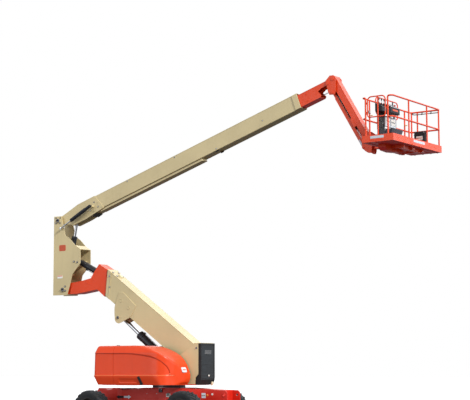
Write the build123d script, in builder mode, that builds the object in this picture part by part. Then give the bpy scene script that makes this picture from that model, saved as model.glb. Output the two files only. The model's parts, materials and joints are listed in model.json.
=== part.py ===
from build123d import *
import os
from math import sin, cos, radians, hypot, atan2, degrees

# ---------------------------------------------------------------------------
# Self-propelled articulating boom lift, 24 m class, wheeled, with jib.
# Millimetres, +Z up, +X towards the platform (front), -Y the machine's right side.
# Side-view points are written from the swing centre: sx() shifts them to the
# frame, whose origin is under the middle of the whole machine's box.
# ---------------------------------------------------------------------------
SWING_X = -1777.5          # swing centre in the frame

# wheels and chassis
TYRE_R, TYRE_W = 515, 400
AXLE_Z = 515
REAR_X, FRONT_X = -1810, 1240
TRACK_Y = 1000             # wheel centre plane
RIM_R = 335
KING_Y = 690               # kingpin axis
CH_BOT, CH_TOP = 560, 1095
CH_HW = 430                # chassis half width

# turntable
BEAR_R, BEAR_Z0, BEAR_Z1 = 430, 1097, 1165
DECK_T = 25
DECK_Z = BEAR_Z1 + DECK_T
RISER_Y = 310              # outer half width of the riser
RISER_T = 22
RISER_X = 1186
RISER_TOP = 2250
HOOD_IN, HOOD_OUT = 345, 1190
HOOD_REAR, HOOD_SPLIT, HOOD_NOSE = -1580, -950, 960
HOOD_TOP, HOOD_BOT = 2200, 1172
HOOD_T = 22
HINGE_Y, HINGE_Z = 372, 2150
HINGE_X = (-820, -440)

# tower boom: pivot low in the riser, leaning back
TOWER_A = 35.2
TOWER_P = (700, 1632)
TOWER_W, TOWER_D, TOWER_T = 380, 631, 9
TOWER_S1, TOWER_S2 = 3350, 3725   # outer end, along the bottom and the top
TFLY_W, TFLY_D = 346, 585
NECK_P = (-3564, 3790)     # gooseneck pin, the upright's lower pin

# upright
UP_Y, UP_T = 225, 14       # outer half width and plate thickness
MAIN_P = (-3774, 5740)     # main boom pin
ULC_U = (-3108, 4550)      # upright level cylinder pin on the upright
ULC_G = (-1566, 3798)      # and on the tower boom fly

# tower lift cylinder
TLC_B = (500, 1340)
TLC_R = (-1590, 2972)

# main boom
MAIN_A = 17.95
MAIN_W, MAIN_T = 290, 8
MAIN_D0, MAIN_D1 = -215, 190
MAIN_S1 = 8380
CHAN_S1, CHAN_H, CHAN_HW = 5110, 66, 112      # trough under the main boom
MFLY_W, MFLY_D0, MFLY_D1 = 250, -190, 140
NOSE_S, NOSE_D = 9300, 55  # nose pin in boom coordinates
MLC_B = (-3560, 4230)      # main lift cylinder, base in the upright
MLC_R = (-3222, 5905)      # rod pin in the boom root
MST_U = (-3620, 5508)      # master cylinder, pin on the upright
MST_B = (-2560, 6070)      # and on the boom root
MST_Y = -290

# jib
JIB_A = 59.5
JIB_L = 1700
J1, J2 = (5205, 8750), (5190, 8410)
K1 = (J1[0] + JIB_L * cos(radians(JIB_A)), J1[1] - JIB_L * sin(radians(JIB_A)))
K2 = (J2[0] + JIB_L * cos(radians(JIB_A)), J2[1] - JIB_L * sin(radians(JIB_A)))
JIB_W = 210
ROT_X = 6375               # rotator axis

# platform
PL_X0, PL_DX, PL_LY = 6645, 840, 2480
PL_Z, PL_H = 6860, 1090
TUBE = 20                  # rail tube radius

os.makedirs("parts", exist_ok=True)
written = []


def sx(x):
    """Side-view X from the swing centre to the frame."""
    return x + SWING_X


def pts(*pairs):
    return [(sx(x), z) for x, z in pairs]


def polygon(plane, points, radius=0):
    """Closed polygon face on a plane, all corners rounded if radius is given."""
    with BuildSketch(plane, mode=Mode.PRIVATE) as sk:
        with BuildLine():
            Polyline(*points, close=True)
        make_face()
        if radius:
            fillet(sk.vertices(), radius)
    return sk.sketch


def side(points, y0, y1, mode=Mode.ADD, radius=0):
    """Plate with a side-view outline between two Y planes."""
    extrude(polygon(Plane.XZ.offset(-y1), pts(*points), radius), amount=y1 - y0, mode=mode)


def plan(points, z0, z1, mode=Mode.ADD, radius=0):
    extrude(polygon(Plane.XY.offset(z0), pts(*points), radius), amount=z1 - z0, mode=mode)


def front(points, x0, x1, mode=Mode.ADD, radius=0):
    """Cross-section outline (y, z) between two X planes."""
    extrude(polygon(Plane.YZ.offset(sx(x0)), points, radius), amount=x1 - x0, mode=mode)


def box(x0, x1, y0, y1, z0, z1, mode=Mode.ADD):
    with Locations((sx((x0 + x1) / 2), (y0 + y1) / 2, (z0 + z1) / 2)):
        Box(x1 - x0, y1 - y0, z1 - z0, mode=mode)


def pin_y(x, z, r, y0, y1, mode=Mode.ADD):
    """Cylinder along Y."""
    with Locations(Location((sx(x), (y0 + y1) / 2, z), (90, 0, 0))):
        Cylinder(r, y1 - y0, mode=mode)


def post_z(x, y, r, z0, z1, mode=Mode.ADD):
    with Locations((sx(x), y, (z0 + z1) / 2)):
        Cylinder(r, z1 - z0, mode=mode)


def bar_x(x0, x1, y, z, r, mode=Mode.ADD):
    with Locations(Location((sx((x0 + x1) / 2), y, z), (0, 90, 0))):
        Cylinder(r, x1 - x0, mode=mode)


def rod(p0, p1, r, y=0, mode=Mode.ADD, a=0.0, b=None):
    """Round bar in the side plane from p0 towards p1, from a to b along the way."""
    length = hypot(p1[0] - p0[0], p1[1] - p0[1])
    b = length if b is None else b
    u = ((p1[0] - p0[0]) / length, (p1[1] - p0[1]) / length)
    pl = Plane(origin=(sx(p0[0] + u[0] * a), y, p0[1] + u[1] * a), z_dir=(u[0], 0, u[1]))
    with BuildSketch(pl, mode=Mode.PRIVATE) as sk:
        Circle(r)
    extrude(sk.sketch, amount=b - a, mode=mode)


def tower_plane(y=0.0):
    """x along the tower boom from its pivot, y normal to it, z = +Y."""
    a = radians(TOWER_A)
    return Plane(origin=(sx(TOWER_P[0]), y, TOWER_P[1]), x_dir=(-cos(a), 0, sin(a)), z_dir=(0, 1, 0))


def main_plane(y=0.0):
    """x along the main boom from its pivot, y normal to it, z = -Y."""
    a = radians(MAIN_A)
    return Plane(origin=(sx(MAIN_P[0]), y, MAIN_P[1]), x_dir=(cos(a), 0, sin(a)), z_dir=(0, -1, 0))


def on_tower(points, half, mode=Mode.ADD, radius=0, y0=None):
    """Outline in tower boom coordinates, extruded across Y."""
    lo = -half if y0 is None else y0
    extrude(polygon(tower_plane(lo), points, radius), amount=half - lo, mode=mode)


def on_main(points, half, mode=Mode.ADD, radius=0, y0=None):
    lo = -half if y0 is None else y0
    extrude(polygon(main_plane(half), points, radius), amount=half - lo, mode=mode)


def main_xz(s, d):
    a = radians(MAIN_A)
    return (MAIN_P[0] + s * cos(a) - d * sin(a), MAIN_P[1] + s * sin(a) + d * cos(a))


def tower_xz(s, d):
    a = radians(TOWER_A)
    return (TOWER_P[0] - s * cos(a) + d * sin(a), TOWER_P[1] + s * sin(a) + d * cos(a))


def rect(x0, x1, y0, y1):
    return [(x0, y0), (x1, y0), (x1, y1), (x0, y1)]


def save(builder, name):
    builder.part.label = name
    export_step(builder.part, "parts/" + name + ".step")
    written.append((name, builder.part))


NOSE_P = main_xz(NOSE_S, NOSE_D)
ROD_D = -135
NC_B, NC_E = main_xz(8250, -72), main_xz(9272, ROD_D)   # nose level cylinder

# ------------------------------------------------------------------ chassis
with BuildPart() as chassis_frame:
    # welded box frame with a saddle over the rear axle and a tapered front
    side([(-2190, 700), (-2262, 840), (-2262, 950), (-2215, 990), (-2165, 1040), (-2150, 1078), (-1920, 1078), (-1830, 1025), (-1720, 1025),
          (-1640, 1078), (-1400, 1078), (-1230, 1030), (-520, CH_TOP), (560, CH_TOP),
          (1750, 1045), (2020, 1035), (2080, 980), (2080, 700), (1900, 640), (1480, 640), (1480, 470), (1440, 470),
          (1440, 735), (1040, 735), (1040, CH_BOT), (-1400, CH_BOT), (-1560, 690), (-2060, 690)], -CH_HW, CH_HW)
    plan([(-2300, -330), (-1500, -330), (-1250, -CH_HW), (750, -CH_HW), (1250, -300), (2200, -300),
          (2200, 300), (1250, 300), (750, CH_HW), (-1250, CH_HW), (-1500, 330), (-2300, 330)],
         400, 1200, mode=Mode.INTERSECT)
    # tie-down holes across both ends
    pin_y(1985, 920, 32, -600, 600, mode=Mode.SUBTRACT)
    pin_y(-2190, 922, 32, -600, 600, mode=Mode.SUBTRACT)
    # openings between the tie-down plates
    box(1850, 2300, -278, 278, 500, 1300, mode=Mode.SUBTRACT)
    box(-2400, -2010, -308, 308, 500, 1300, mode=Mode.SUBTRACT)
    # bolting ring under the bearing
    post_z(0, 0, BEAR_R + 40, CH_TOP - 20, BEAR_Z0)
save(chassis_frame, "chassis_frame")

with BuildPart() as rear_axle:
    box(REAR_X - 95, REAR_X + 95, -640, 640, AXLE_Z - 85, AXLE_Z + 95)
    box(REAR_X - 230, REAR_X + 230, -300, 300, AXLE_Z + 95, 690)
    pin_y(REAR_X, AXLE_Z, 150, -700, -640)
    pin_y(REAR_X, AXLE_Z, 150, 640, 700)
save(rear_axle, "rear_axle")

with BuildPart() as front_axle:
    # oscillating beam on a fore-and-aft pin, forked at the kingpins
    front([(-470, 430), (470, 430), (470, 560), (210, 615), (-210, 615), (-470, 560)],
          FRONT_X - 90, FRONT_X + 90)
    bar_x(1041, 1439, 0, 545, 60)
    box(FRONT_X - 90, FRONT_X + 90, -60, 60, 600, 690)
    for s in (-1, 1):
        for z0, z1 in ((395, 435), (595, 635)):
            y0, y1 = sorted((s * 440, s * KING_Y))
            box(FRONT_X - 50, FRONT_X + 50, y0, y1, z0, z1)
            post_z(FRONT_X, s * KING_Y, 50, z0, z1)
        y0, y1 = sorted((s * 440, s * 475))
        box(FRONT_X - 90, FRONT_X + 90, y0, y1, 395, 635)
save(front_axle, "front_axle")

for name, s in (("knuckle_front_right", -1), ("knuckle_front_left", 1)):
    with BuildPart() as knuckle:
        post_z(FRONT_X, s * KING_Y, 60, 441, 589)
        y0, y1 = sorted((s * KING_Y, s * 780))
        box(FRONT_X - 110, FRONT_X + 110, *sorted((s * 745, s * 780)), 405, 625)
        box(FRONT_X - 60, FRONT_X + 60, y0, y1, 441, 589)
        pin_y(FRONT_X, AXLE_Z, 105, *sorted((s * 780, s * 812)))
        # steering arm reaching back from the kingpin
        box(FRONT_X - 300, FRONT_X - 40, *sorted((s * 655, s * 715)), 441, 465)
        post_z(FRONT_X - 300, s * 685, 42, 441, 465)
    save(knuckle, name)

with BuildPart() as tie_rod:
    with Locations(Location((sx(FRONT_X - 300), 0, 500), (90, 0, 0))):
        Cylinder(24, 1300)
    for s in (-1, 1):
        post_z(FRONT_X - 300, s * 685, 38, 473, 527)
save(tie_rod, "tie_rod")

WHEELS = (("front_right", FRONT_X, -1), ("front_left", FRONT_X, 1),
          ("rear_right", REAR_X, -1), ("rear_left", REAR_X, 1))
for wname, wx, s in WHEELS:
    ys = s * TRACK_Y
    with BuildPart() as tyre:
        # rounded tyre section turned about the wheel axis
        with BuildSketch(Plane.XY.offset(AXLE_Z)):
            with BuildLine():
                Polyline((sx(wx) + RIM_R - 12, ys - 165), (sx(wx) + 430, ys - 196), (sx(wx) + 485, ys - 190),
                         (sx(wx) + TYRE_R, ys - 150), (sx(wx) + TYRE_R, ys + 150), (sx(wx) + 485, ys + 190),
                         (sx(wx) + 430, ys + 196), (sx(wx) + RIM_R - 12, ys + 165), close=True)
            make_face()
        revolve(axis=Axis((sx(wx), 0, AXLE_Z), (0, 1, 0)))
    save(tyre, "tyre_" + wname)
    with BuildPart() as rim:
        with BuildSketch(Plane.XY.offset(AXLE_Z)):
            with BuildLine():
                o = s * 1.0
                Polyline((sx(wx), ys - o * 170), (sx(wx) + 120, ys - o * 170), (sx(wx) + 190, ys - o * 90),
                         (sx(wx) + 210, ys - o * 168), (sx(wx) + RIM_R - 14, ys - o * 168),
                         (sx(wx) + RIM_R - 14, ys + o * 168), (sx(wx) + RIM_R - 30, ys + o * 168),
                         (sx(wx) + RIM_R - 48, ys + o * 60), (sx(wx) + 180, ys + o * 40),
                         (sx(wx) + 160, ys + o * 120), (sx(wx), ys + o * 135), close=True)
            make_face()
        revolve(axis=Axis((sx(wx), 0, AXLE_Z), (0, 1, 0)))
    save(rim, "rim_" + wname)

# ---------------------------------------------------------------- turntable
with BuildPart() as turntable_bearing:
    post_z(0, 0, BEAR_R, BEAR_Z0 + 1, BEAR_Z1)
save(turntable_bearing, "turntable_bearing")

with BuildPart() as turntable_frame:
    edge = [(-1440, 1015), (330, 1015), (470, 940), (590, 800), (690, 640), (770, 480), (770, RISER_Y + 8), (1090, RISER_Y + 8)]
    plan([(x, -y) for x, y in edge] + edge[::-1], BEAR_Z1, DECK_Z)
    box(-1500, -950, -344, 344, BEAR_Z1 - 5, DECK_Z + 5, mode=Mode.SUBTRACT)
    # clevis for the tower lift cylinder
    for s in (-1, 1):
        side([(370, DECK_Z), (630, DECK_Z), (560, 1400), (440, 1400)], *sorted((s * 130, s * 150)))
        # frame that carries the hood: two posts, a beam and the hinge pins
        for x in (-900, -380):
            box(x - 22, x + 22, *sorted((s * 346, s * 368)), DECK_Z, 2105)
        box(-940, -340, *sorted((s * 346, s * 368)), 2095, 2130)
        for x in HINGE_X:
            bar_x(x - 30, x + 90, s * HINGE_Y, HINGE_Z, 9)
            for a in (x - 30, x + 65):
                box(a, a + 25, *sorted((s * 350, s * (HINGE_Y + 10))), 2112, 2160)
save(turntable_frame, "turntable_frame")

with BuildPart() as boom_riser:
    for s in (-1, 1):
        y0, y1 = sorted((s * (RISER_Y - RISER_T), s * RISER_Y))
        side([(150, DECK_Z), (1078, DECK_Z), (1092, 1356), (RISER_X, 1450), (RISER_X, RISER_TOP),
              (1055, RISER_TOP), (880, 2120), (520, 1900), (300, 1500)], y0, y1)
    # cross plate under the tower boom's root
    box(1000, 1020, -RISER_Y + RISER_T, RISER_Y - RISER_T, DECK_Z, 1420)
    # pin bosses outside and inside the plates
    for s in (-1, 1):
        pin_y(*TOWER_P, 80, *sorted((s * (RISER_Y - RISER_T), s * (RISER_Y + 14))))
        pin_y(*TOWER_P, 80, *sorted((s * 200, s * (RISER_Y - RISER_T))))
save(boom_riser, "boom_riser")

with BuildPart() as riser_cover:
    side([(1112, 1175), (RISER_X + 30, 1175), (RISER_X + 75, 1300), (RISER_X + 75, RISER_TOP - 6), (RISER_X + 1, RISER_TOP - 6),
          (RISER_X + 1, 1448), (1112, 1348)], -RISER_Y, RISER_Y)
    side([(1100, 1160), (RISER_X + 22, 1184), (RISER_X + 67, 1304), (RISER_X + 67, RISER_TOP - 14), (RISER_X - 20, RISER_TOP - 14),
          (RISER_X - 20, 1448), (1100, 1340)], -RISER_Y + 8, RISER_Y - 8, mode=Mode.SUBTRACT)
    # shallow pressing in the outer face
    box(RISER_X + 71, RISER_X + 80, -RISER_Y + 60, RISER_Y - 45, 1330, RISER_TOP - 60, mode=Mode.SUBTRACT)
save(riser_cover, "riser_cover")


def hood_solid(s, x0, x1, inset=0.0, y_in=HOOD_IN, z_bot=HOOD_BOT):
    """Hood body: side profile with a bullet front, crossed with the end
    profile and the plan profile. inset moves every outer face inwards."""
    t = inset
    side_pts = [(x0, z_bot), (x1 - 112 - t, z_bot), (x1 - 48 - t, 1246), (x1 - 7 - t, 1336), (x1 - t, 1410), (x1 - 49 - t, 1555),
                (x1 - 114 - t, 1697), (x1 - 211 - t, 1826 - t * 0.6), (x1 - 309 - t, 1917 - t * 0.8), (x1 - 473 - t, 2010 - t),
                (x1 - 670 - t, 2089 - t), (x1 - 1000 - t, 2176 - t), (x1 - 1260 - t, HOOD_TOP - t), (x0, HOOD_TOP - t)]
    if x1 < 0:
        side_pts = [(x0, z_bot), (x1, z_bot), (x1, HOOD_TOP - t), (x0, HOOD_TOP - t)]
    side(side_pts, *sorted((s * y_in, s * HOOD_OUT)))
    front([(s * y_in, z_bot - 5), (s * (1060 - t), z_bot - 5), (s * (HOOD_OUT - t), 1415), (s * (HOOD_OUT - t), 1975 - t),
           (s * (1010 - t), HOOD_TOP + 1 - t), (s * y_in, HOOD_TOP + 1 - t)], x0 - 10, x1 + 10, mode=Mode.INTERSECT)
    if x1 > 0:
        plan([(x0 - 10, s * (y_in - 5)), (x1 + 5 - t, s * (y_in - 5)), (x1 - 35 - t, s * 560), (x1 - 130 - t, s * (780 - t)),
              (x1 - 250 - t, s * (950 - t)), (x1 - 370 - t, s * (1110 - t)), (x1 - 560 - t, s * (HOOD_OUT + 1 - t)),
              (x0 - 10, s * (HOOD_OUT + 1 - t))], 1000, 2400, mode=Mode.INTERSECT)


for name, s in (("hood_right", -1), ("hood_left", 1)):
    with BuildPart() as cavity:
        hood_solid(s, HOOD_SPLIT - 50, HOOD_NOSE, HOOD_T, HOOD_IN - 30, HOOD_BOT - 40)
    with BuildPart() as hood:
        hood_solid(s, HOOD_SPLIT + 4, HOOD_NOSE)
        add(cavity.part, mode=Mode.SUBTRACT)
        # the deck's edge passes inside the lower skin
        # hinge knuckles under the top skin
        for x in HINGE_X:
            box(x, x + 60, *sorted((s * (HINGE_Y - 8), s * (HINGE_Y + 8))), HINGE_Z + 10, HOOD_TOP - HOOD_T + 2)
            bar_x(x, x + 60, s * HINGE_Y, HINGE_Z, 16)
            bar_x(x - 1, x + 61, s * HINGE_Y, HINGE_Z, 9.5, mode=Mode.SUBTRACT)
    save(hood, name)

with BuildPart() as counterweight:
    # cast tail weight, flush with the hoods, notched for the lowered boom
    front([(-1068, DECK_Z), (-340, DECK_Z), (-340, 1150), (340, 1150), (340, DECK_Z), (1068, DECK_Z), (HOOD_OUT, 1415), (HOOD_OUT, 1975),
           (1010, HOOD_TOP), (330, HOOD_TOP), (330, 1560), (150, 1560), (150, 1214), (-150, 1214), (-150, 1560), (-330, 1560),
           (-330, HOOD_TOP), (-1010, HOOD_TOP), (-HOOD_OUT, 1975), (-HOOD_OUT, 1415)],
          HOOD_REAR, HOOD_SPLIT - 6)
    side([(HOOD_REAR + 125, 1145), (HOOD_REAR + 110, DECK_Z - 5), (HOOD_REAR, 1416), (HOOD_REAR + 40, 1950), (HOOD_REAR + 150, HOOD_TOP + 5), (0, HOOD_TOP + 5), (0, 1145)],
         -HOOD_OUT - 5, HOOD_OUT + 5, mode=Mode.INTERSECT)
    plan([(0, -1195), (HOOD_REAR + 110, -1195), (HOOD_REAR + 30, -1150), (HOOD_REAR - 5, -1050), (HOOD_REAR - 5, 1050), (HOOD_REAR + 30, 1150),
          (HOOD_REAR + 110, 1195), (0, 1195)], 1000, 2400, mode=Mode.INTERSECT)
save(counterweight, "counterweight")

with BuildPart() as engine_block:
    box(-700, 350, 430, 960, DECK_Z, 1900)
save(engine_block, "engine_block")

with BuildPart() as tanks:
    box(-880, -150, -960, -430, DECK_Z, 1880)
    box(-60, 400, -900, -430, DECK_Z, 1760)
save(tanks, "tanks")

# --------------------------------------------------------------- tower boom
with BuildPart() as tower_base:
    # box boom with a vertical outer end and a rounded-off root
    on_tower([(400, 0), (TOWER_S1, 0), (TOWER_S1 + 30, 20), (TOWER_S2, TOWER_D), (115, TOWER_D), (-60, 500), (-150, 300),
              (-150, 60), (-60, -75), (60, -75), (150, 0)], TOWER_W / 2)
    # doubler band round the outer end
    on_tower([(TOWER_S1 - 150, -6), (TOWER_S1 - 4, -6), (TOWER_S1 + 22, 20), (TOWER_S2 - 4, TOWER_D + 6), (TOWER_S2 - 150, TOWER_D + 6),
              (TOWER_S1 - 120, 20)], TOWER_W / 2 + 6)
    on_tower(rect(330, TOWER_S2 + 50, TOWER_T, TOWER_D - TOWER_T), TOWER_W / 2 - TOWER_T, mode=Mode.SUBTRACT)
    # doubler plates on the sides, drawn down into lugs for the lift cylinder's rod
    for s in (-1, 1):
        side([(-1718, 3246), (-1720, 3097), (-1702, 2900), (-1655, 2838), (-1577, 2812), (-1500, 2832), (-1213, 2950),
              (-1144, 3010), (-974, 3267), (-1427, 3650), (-1567, 3655), (-1700, 3320)], *sorted((s * (TOWER_W / 2 - 2), s * (TOWER_W / 2 + 13))))
        pin_y(*TLC_R, 62, *sorted((s * 96, s * (TOWER_W / 2 + 1))))
        pin_y(*TLC_R, 40, *sorted((s * 150, s * (TOWER_W / 2 + 24))))
save(tower_base, "tower_base")

with BuildPart() as tower_fly:
    # box fly with the gooseneck that carries the upright; hollow, open inboard
    on_tower(rect(620, TOWER_S1 + 300, 23, 23 + TFLY_D), TFLY_W / 2)
    side([(-2012, 4290), (-2306, 4455), (-2490, 4230), (-2594, 4080), (-2960, 4010), (-3320, 3975), (-3564, 3890),
          (-3632, 3862), (-3662, 3790), (-3632, 3722), (-3564, 3692), (-3409, 3662), (-3086, 3666), (-2364, 3760), (-2231, 3655),
          (-2092, 3552), (-2086, 3620), (-2062, 3760)], -TFLY_W / 2, TFLY_W / 2)
    on_tower(rect(560, TOWER_S1 + 290, 33, 13 + TFLY_D), TFLY_W / 2 - 10, mode=Mode.SUBTRACT)
    # inside of the gooseneck, open towards the upright for the level cylinder
    side([(-1900, 4170), (-2300, 4425), (-2420, 4560), (-2900, 4400), (-2860, 4008), (-3000, 3985), (-3430, 3930),
          (-3430, 3690), (-3086, 3690), (-2364, 3784), (-2231, 3680), (-2060, 3600), (-1900, 3600)],
         -TFLY_W / 2 + 14, TFLY_W / 2 - 14, mode=Mode.SUBTRACT)
    # the neck narrows to run between the upright's plates
    for s in (-1, 1):
        box(-3700, -3340, *sorted((s * 160, s * 200)), 3500, 4100, mode=Mode.SUBTRACT)
    pin_y(*NECK_P, 97, -160, 160)
    # bosses for the level cylinder's base
    for s in (-1, 1):
        pin_y(*ULC_G, 60, *sorted((s * 104, s * (TFLY_W / 2 - 5))))
save(tower_fly, "tower_fly")

with BuildPart() as upright:
    outline = [(-3930, 3640), (-3415, 3635), (-3322, 3893), (-3235, 4201), (-2943, 4503), (-2948, 4900),
               (-3133, 5016), (-3319, 5193), (-3506, 5316), (-3593, 5619), (-3656, 5860), (-3930, 5860)]
    for s in (-1, 1):
        side(outline, *sorted((s * (UP_Y - UP_T), s * UP_Y)))
    # rear web and the front top plate join the two sides
    box(-3930, -3916, -UP_Y + UP_T, UP_Y - UP_T, 4000, 5300)
    side([(-2948, 4900), (-3133, 5016), (-3140, 5004), (-2956, 4888)], -UP_Y + UP_T, UP_Y - UP_T)
    for s in (-1, 1):
        pin_y(*MAIN_P, 70, *sorted((s * UP_Y, s * (UP_Y + 16))))
        pin_y(*NECK_P, 70, *sorted((s * UP_Y, s * (UP_Y + 16))))
        pin_y(*MAIN_P, 60, *sorted((s * 160, s * (UP_Y - UP_T))))
        pin_y(*NECK_P, 60, *sorted((s * 165, s * (UP_Y - UP_T))))
        pin_y(*MLC_B, 55, *sorted((s * 104, s * (UP_Y - UP_T))))
        pin_y(*ULC_U, 45, *sorted((s * 94, s * (UP_Y - UP_T))))
    pin_y(*MST_U, 26, MST_Y + 28, -UP_Y)
save(upright, "upright")


def cylinder_parts(prefix, base, eye, r_out, r_rod, y, barrel_len, inner, eye_half, base_half, gland):
    """Hydraulic cylinder: hollow barrel with a base eye, and a rod with its eye."""
    length = hypot(eye[0] - base[0], eye[1] - base[1])
    with BuildPart() as barrel:
        rod(base, eye, r_out, y, a=r_out * 0.4, b=barrel_len)
        rod(base, eye, r_out + 8, y, a=barrel_len - gland, b=barrel_len)
        rod(base, eye, r_rod + 6, y, Mode.SUBTRACT, a=110, b=barrel_len + 20)
        pin_y(base[0], base[1], r_out * 0.8, y - base_half, y + base_half)
    save(barrel, prefix + "_barrel")
    with BuildPart() as piston_rod:
        rod(base, eye, r_rod, y, a=inner, b=length)
        pin_y(eye[0], eye[1], r_rod * 1.5, y - eye_half, y + eye_half)
    save(piston_rod, prefix + "_rod")


cylinder_parts("tower_cylinder", TLC_B, TLC_R, 110, 50, 0, 1885, 860, 92, 118, 150)
cylinder_parts("upright_cylinder", ULC_U, ULC_G, 84, 42, 0, 1150, 610, 98, 92, 90)
cylinder_parts("main_cylinder", MLC_B, MLC_R, 68, 36, 0, 1080, 490, 78, 100, 80)
cylinder_parts("master_cylinder", MST_B, MST_U, 44, 20, MST_Y, 770, 380, 26, 26, 60)

# ---------------------------------------------------------------- main boom
with BuildPart() as main_boom_base:
    on_main([(1240, MAIN_D0), (MAIN_S1 + 15, MAIN_D0), (MAIN_S1, MAIN_D1), (1240, MAIN_D1)], MAIN_W / 2)
    # root: deep doubler plates narrowing to the pivot
    on_main([(-90, -60), (60, -110), (420, -300), (900, -300), (1610, -232), (1390, 205), (765, 201), (140, 100), (-60, 90)],
            MAIN_W / 2 + 8)
    on_main(rect(1450, CHAN_S1, MAIN_D0 - CHAN_H, MAIN_D0 + 4), CHAN_HW)
    on_main([(700, MAIN_D0 + MAIN_T), (MAIN_S1 + 60, MAIN_D0 + MAIN_T), (MAIN_S1 + 60, MAIN_D1 - MAIN_T), (700, MAIN_D1 - MAIN_T)],
            MAIN_W / 2 - MAIN_T, mode=Mode.SUBTRACT)
    # box bracket and pin for the master cylinder
    on_main([(1150, -215), (1540, -215), (1540, -60), (1400, 90), (1290, 90), (1150, -60)], 240, y0=149)
    pin_y(*MST_B, 30, -243, -150)
    pin_y(*MST_B, 15, MST_Y + 28, -243)
    # pocket for the lift cylinder's rod eye
    on_main([(30, -400), (1100, -400), (1100, 150), (200, 60), (130, -40), (30, -95)], 95, mode=Mode.SUBTRACT)
save(main_boom_base, "main_boom_base")

with BuildPart() as main_boom_fly:
    on_main([(1300, MFLY_D0), (8990, MFLY_D0), (9030, -150), (8970, -20), (9080, 20), (9345, 20), (9372, 55), (9350, 112), (9300, MFLY_D1), (1300, MFLY_D1)],
            MFLY_W / 2)
    on_main([(1200, MFLY_D0 + 9), (8960, MFLY_D0 + 9), (9500, MFLY_D0 + 9), (9500, MFLY_D1 - 9), (1200, MFLY_D1 - 9)],
            MFLY_W / 2 - 9, mode=Mode.SUBTRACT)
    for s in (-1, 1):
        pin_y(*NC_B, 34, *sorted((s * 83, s * (MFLY_W / 2 - 4))))
    pin_y(*NOSE_P, 32, -200, 200, mode=Mode.SUBTRACT)
save(main_boom_fly, "main_boom_fly")

cylinder_parts("nose_cylinder", NC_B, NC_E, 36, 14, 0, 640, 300, 60, 80, 50)

with BuildPart() as jib_bracket:
    for s in (-1, 1):
        side([(5000, 8730), (5030, 8600), (5070, 8440), (5110, 8360), (5260, 8350), (5300, 8450), (5300, 8760),
              (5230, 8845), (5120, 8845)], *sorted((s * 130, s * 146)))
        pin_y(*NOSE_P, 45, *sorted((s * 146, s * 160)))
        pin_y(*J1, 42, *sorted((s * 146, s * 158)))
        pin_y(*J2, 36, *sorted((s * 146, s * 158)))
    pin_y(*J1, 30, -130, 130)
    pin_y(*NOSE_P, 30, -130, 130)
    for s in (-1, 1):
        pin_y(*NC_E, 22, *sorted((s * 62, s * 130)))
save(jib_bracket, "jib_bracket")


def jib_plane(origin, y):
    a = radians(JIB_A)
    return Plane(origin=(sx(origin[0]), y, origin[1]), x_dir=(cos(a), 0, -sin(a)), z_dir=(0, -1, 0))


with BuildPart() as jib_arm:
    h = JIB_W / 2
    extrude(polygon(jib_plane(J1, h), [(-20, -75), (JIB_L, -75), (JIB_L, 75), (-50, 75), (-74, 50), (-74, -10)]), amount=2 * h)
    for p in (J1, K1):
        pin_y(*p, 75, -h, h)
    extrude(polygon(jib_plane(J1, h - 8), [(-100, -90), (JIB_L + 100, -90), (JIB_L + 100, 67), (-100, 67)]),
            amount=2 * h - 16, mode=Mode.SUBTRACT)
    for p in (J1, K1):
        pin_y(*p, 50, -h, h)
        pin_y(*p, 32, -h - 1, h + 1, mode=Mode.SUBTRACT)
save(jib_arm, "jib_arm")

with BuildPart() as jib_link:
    h = 70
    extrude(polygon(jib_plane(J2, h), [(0, -35), (JIB_L, -35), (JIB_L, 35), (0, 35)]), amount=2 * h)
    for p in (J2, K2):
        pin_y(*p, 35, -h, h)
save(jib_link, "jib_link")

with BuildPart() as platform_support:
    for s in (-1, 1):
        side([(K2[0] - 40, K2[1] - 12), (6041, 6911), (6124, 6842), (6180, 6808), (6235, 6795), (6262, 6812), (6278, 6865), (6285, 6959),
              (6345, 6978), (6345, 7225), (K1[0] + 80, K1[1] + 75), (K1[0], K1[1] + 78), (K1[0] - 65, K1[1] + 45)],
             *sorted((s * 115, s * 131)))
    side([(K2[0] + 92, 6960), (6300, 6960), (6300, 7240), (K1[0] + 100, 7240)], -115, 115)
    post_z(ROT_X, 0, 105, 6960, 7230)
    pin_y(*K1, 31.9, -115, 115)
save(platform_support, "platform_support")

# ----------------------------------------------------------------- platform
X0, X1 = PL_X0, PL_X0 + PL_DX
YH = PL_LY / 2
GATE_A, GATE_B = X0 + 150, X0 + 625          # gate's two upright tubes
with BuildPart() as platform_carrier:
    post_z(ROT_X, 0, 86, 6900, 6954)
    box(ROT_X, X0, -75, 75, 6900, 6952)
    side([(6465, 6950), (X0, 6950), (X0, PL_Z), (X1 - 120, PL_Z), (X1 - 120, 6790), (6720, 6790), (6600, 6838)], -75, 75)
    for y in (-480, 480):
        box(X0 + 60, X1 - 120, y - 40, y + 40, 6790, PL_Z)
    box(X0 + 120, X0 + 200, -520, 520, 6770, PL_Z)
    # pressed pan across the carrier arm
    front([(-830, 6796), (-740, 6726), (-440, 6712), (-150, 6735), (60, 6775), (400, 6815), (640, 6830), (640, PL_Z), (-830, PL_Z)],
          X0 + 205, X0 + 400)
    box(X1 - 260, X1 - 180, -520, 520, 6770, PL_Z)
save(platform_carrier, "platform_carrier")

with BuildPart() as platform_floor:
    box(X0, X1, -YH, YH, PL_Z, PL_Z + 30)
    box(X0, X1, -YH, YH, PL_Z + 28, PL_Z + 165)
    box(X0 + 5, X1 - 5, -YH + 5, YH - 5, PL_Z + 30, PL_Z + 200, mode=Mode.SUBTRACT)
    # gate opening in the right end's toe board
    box(X0 + 200, X0 + 640, -YH - 20, -YH + 20, PL_Z + 30, PL_Z + 200, mode=Mode.SUBTRACT)
save(platform_floor, "platform_floor")

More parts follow.
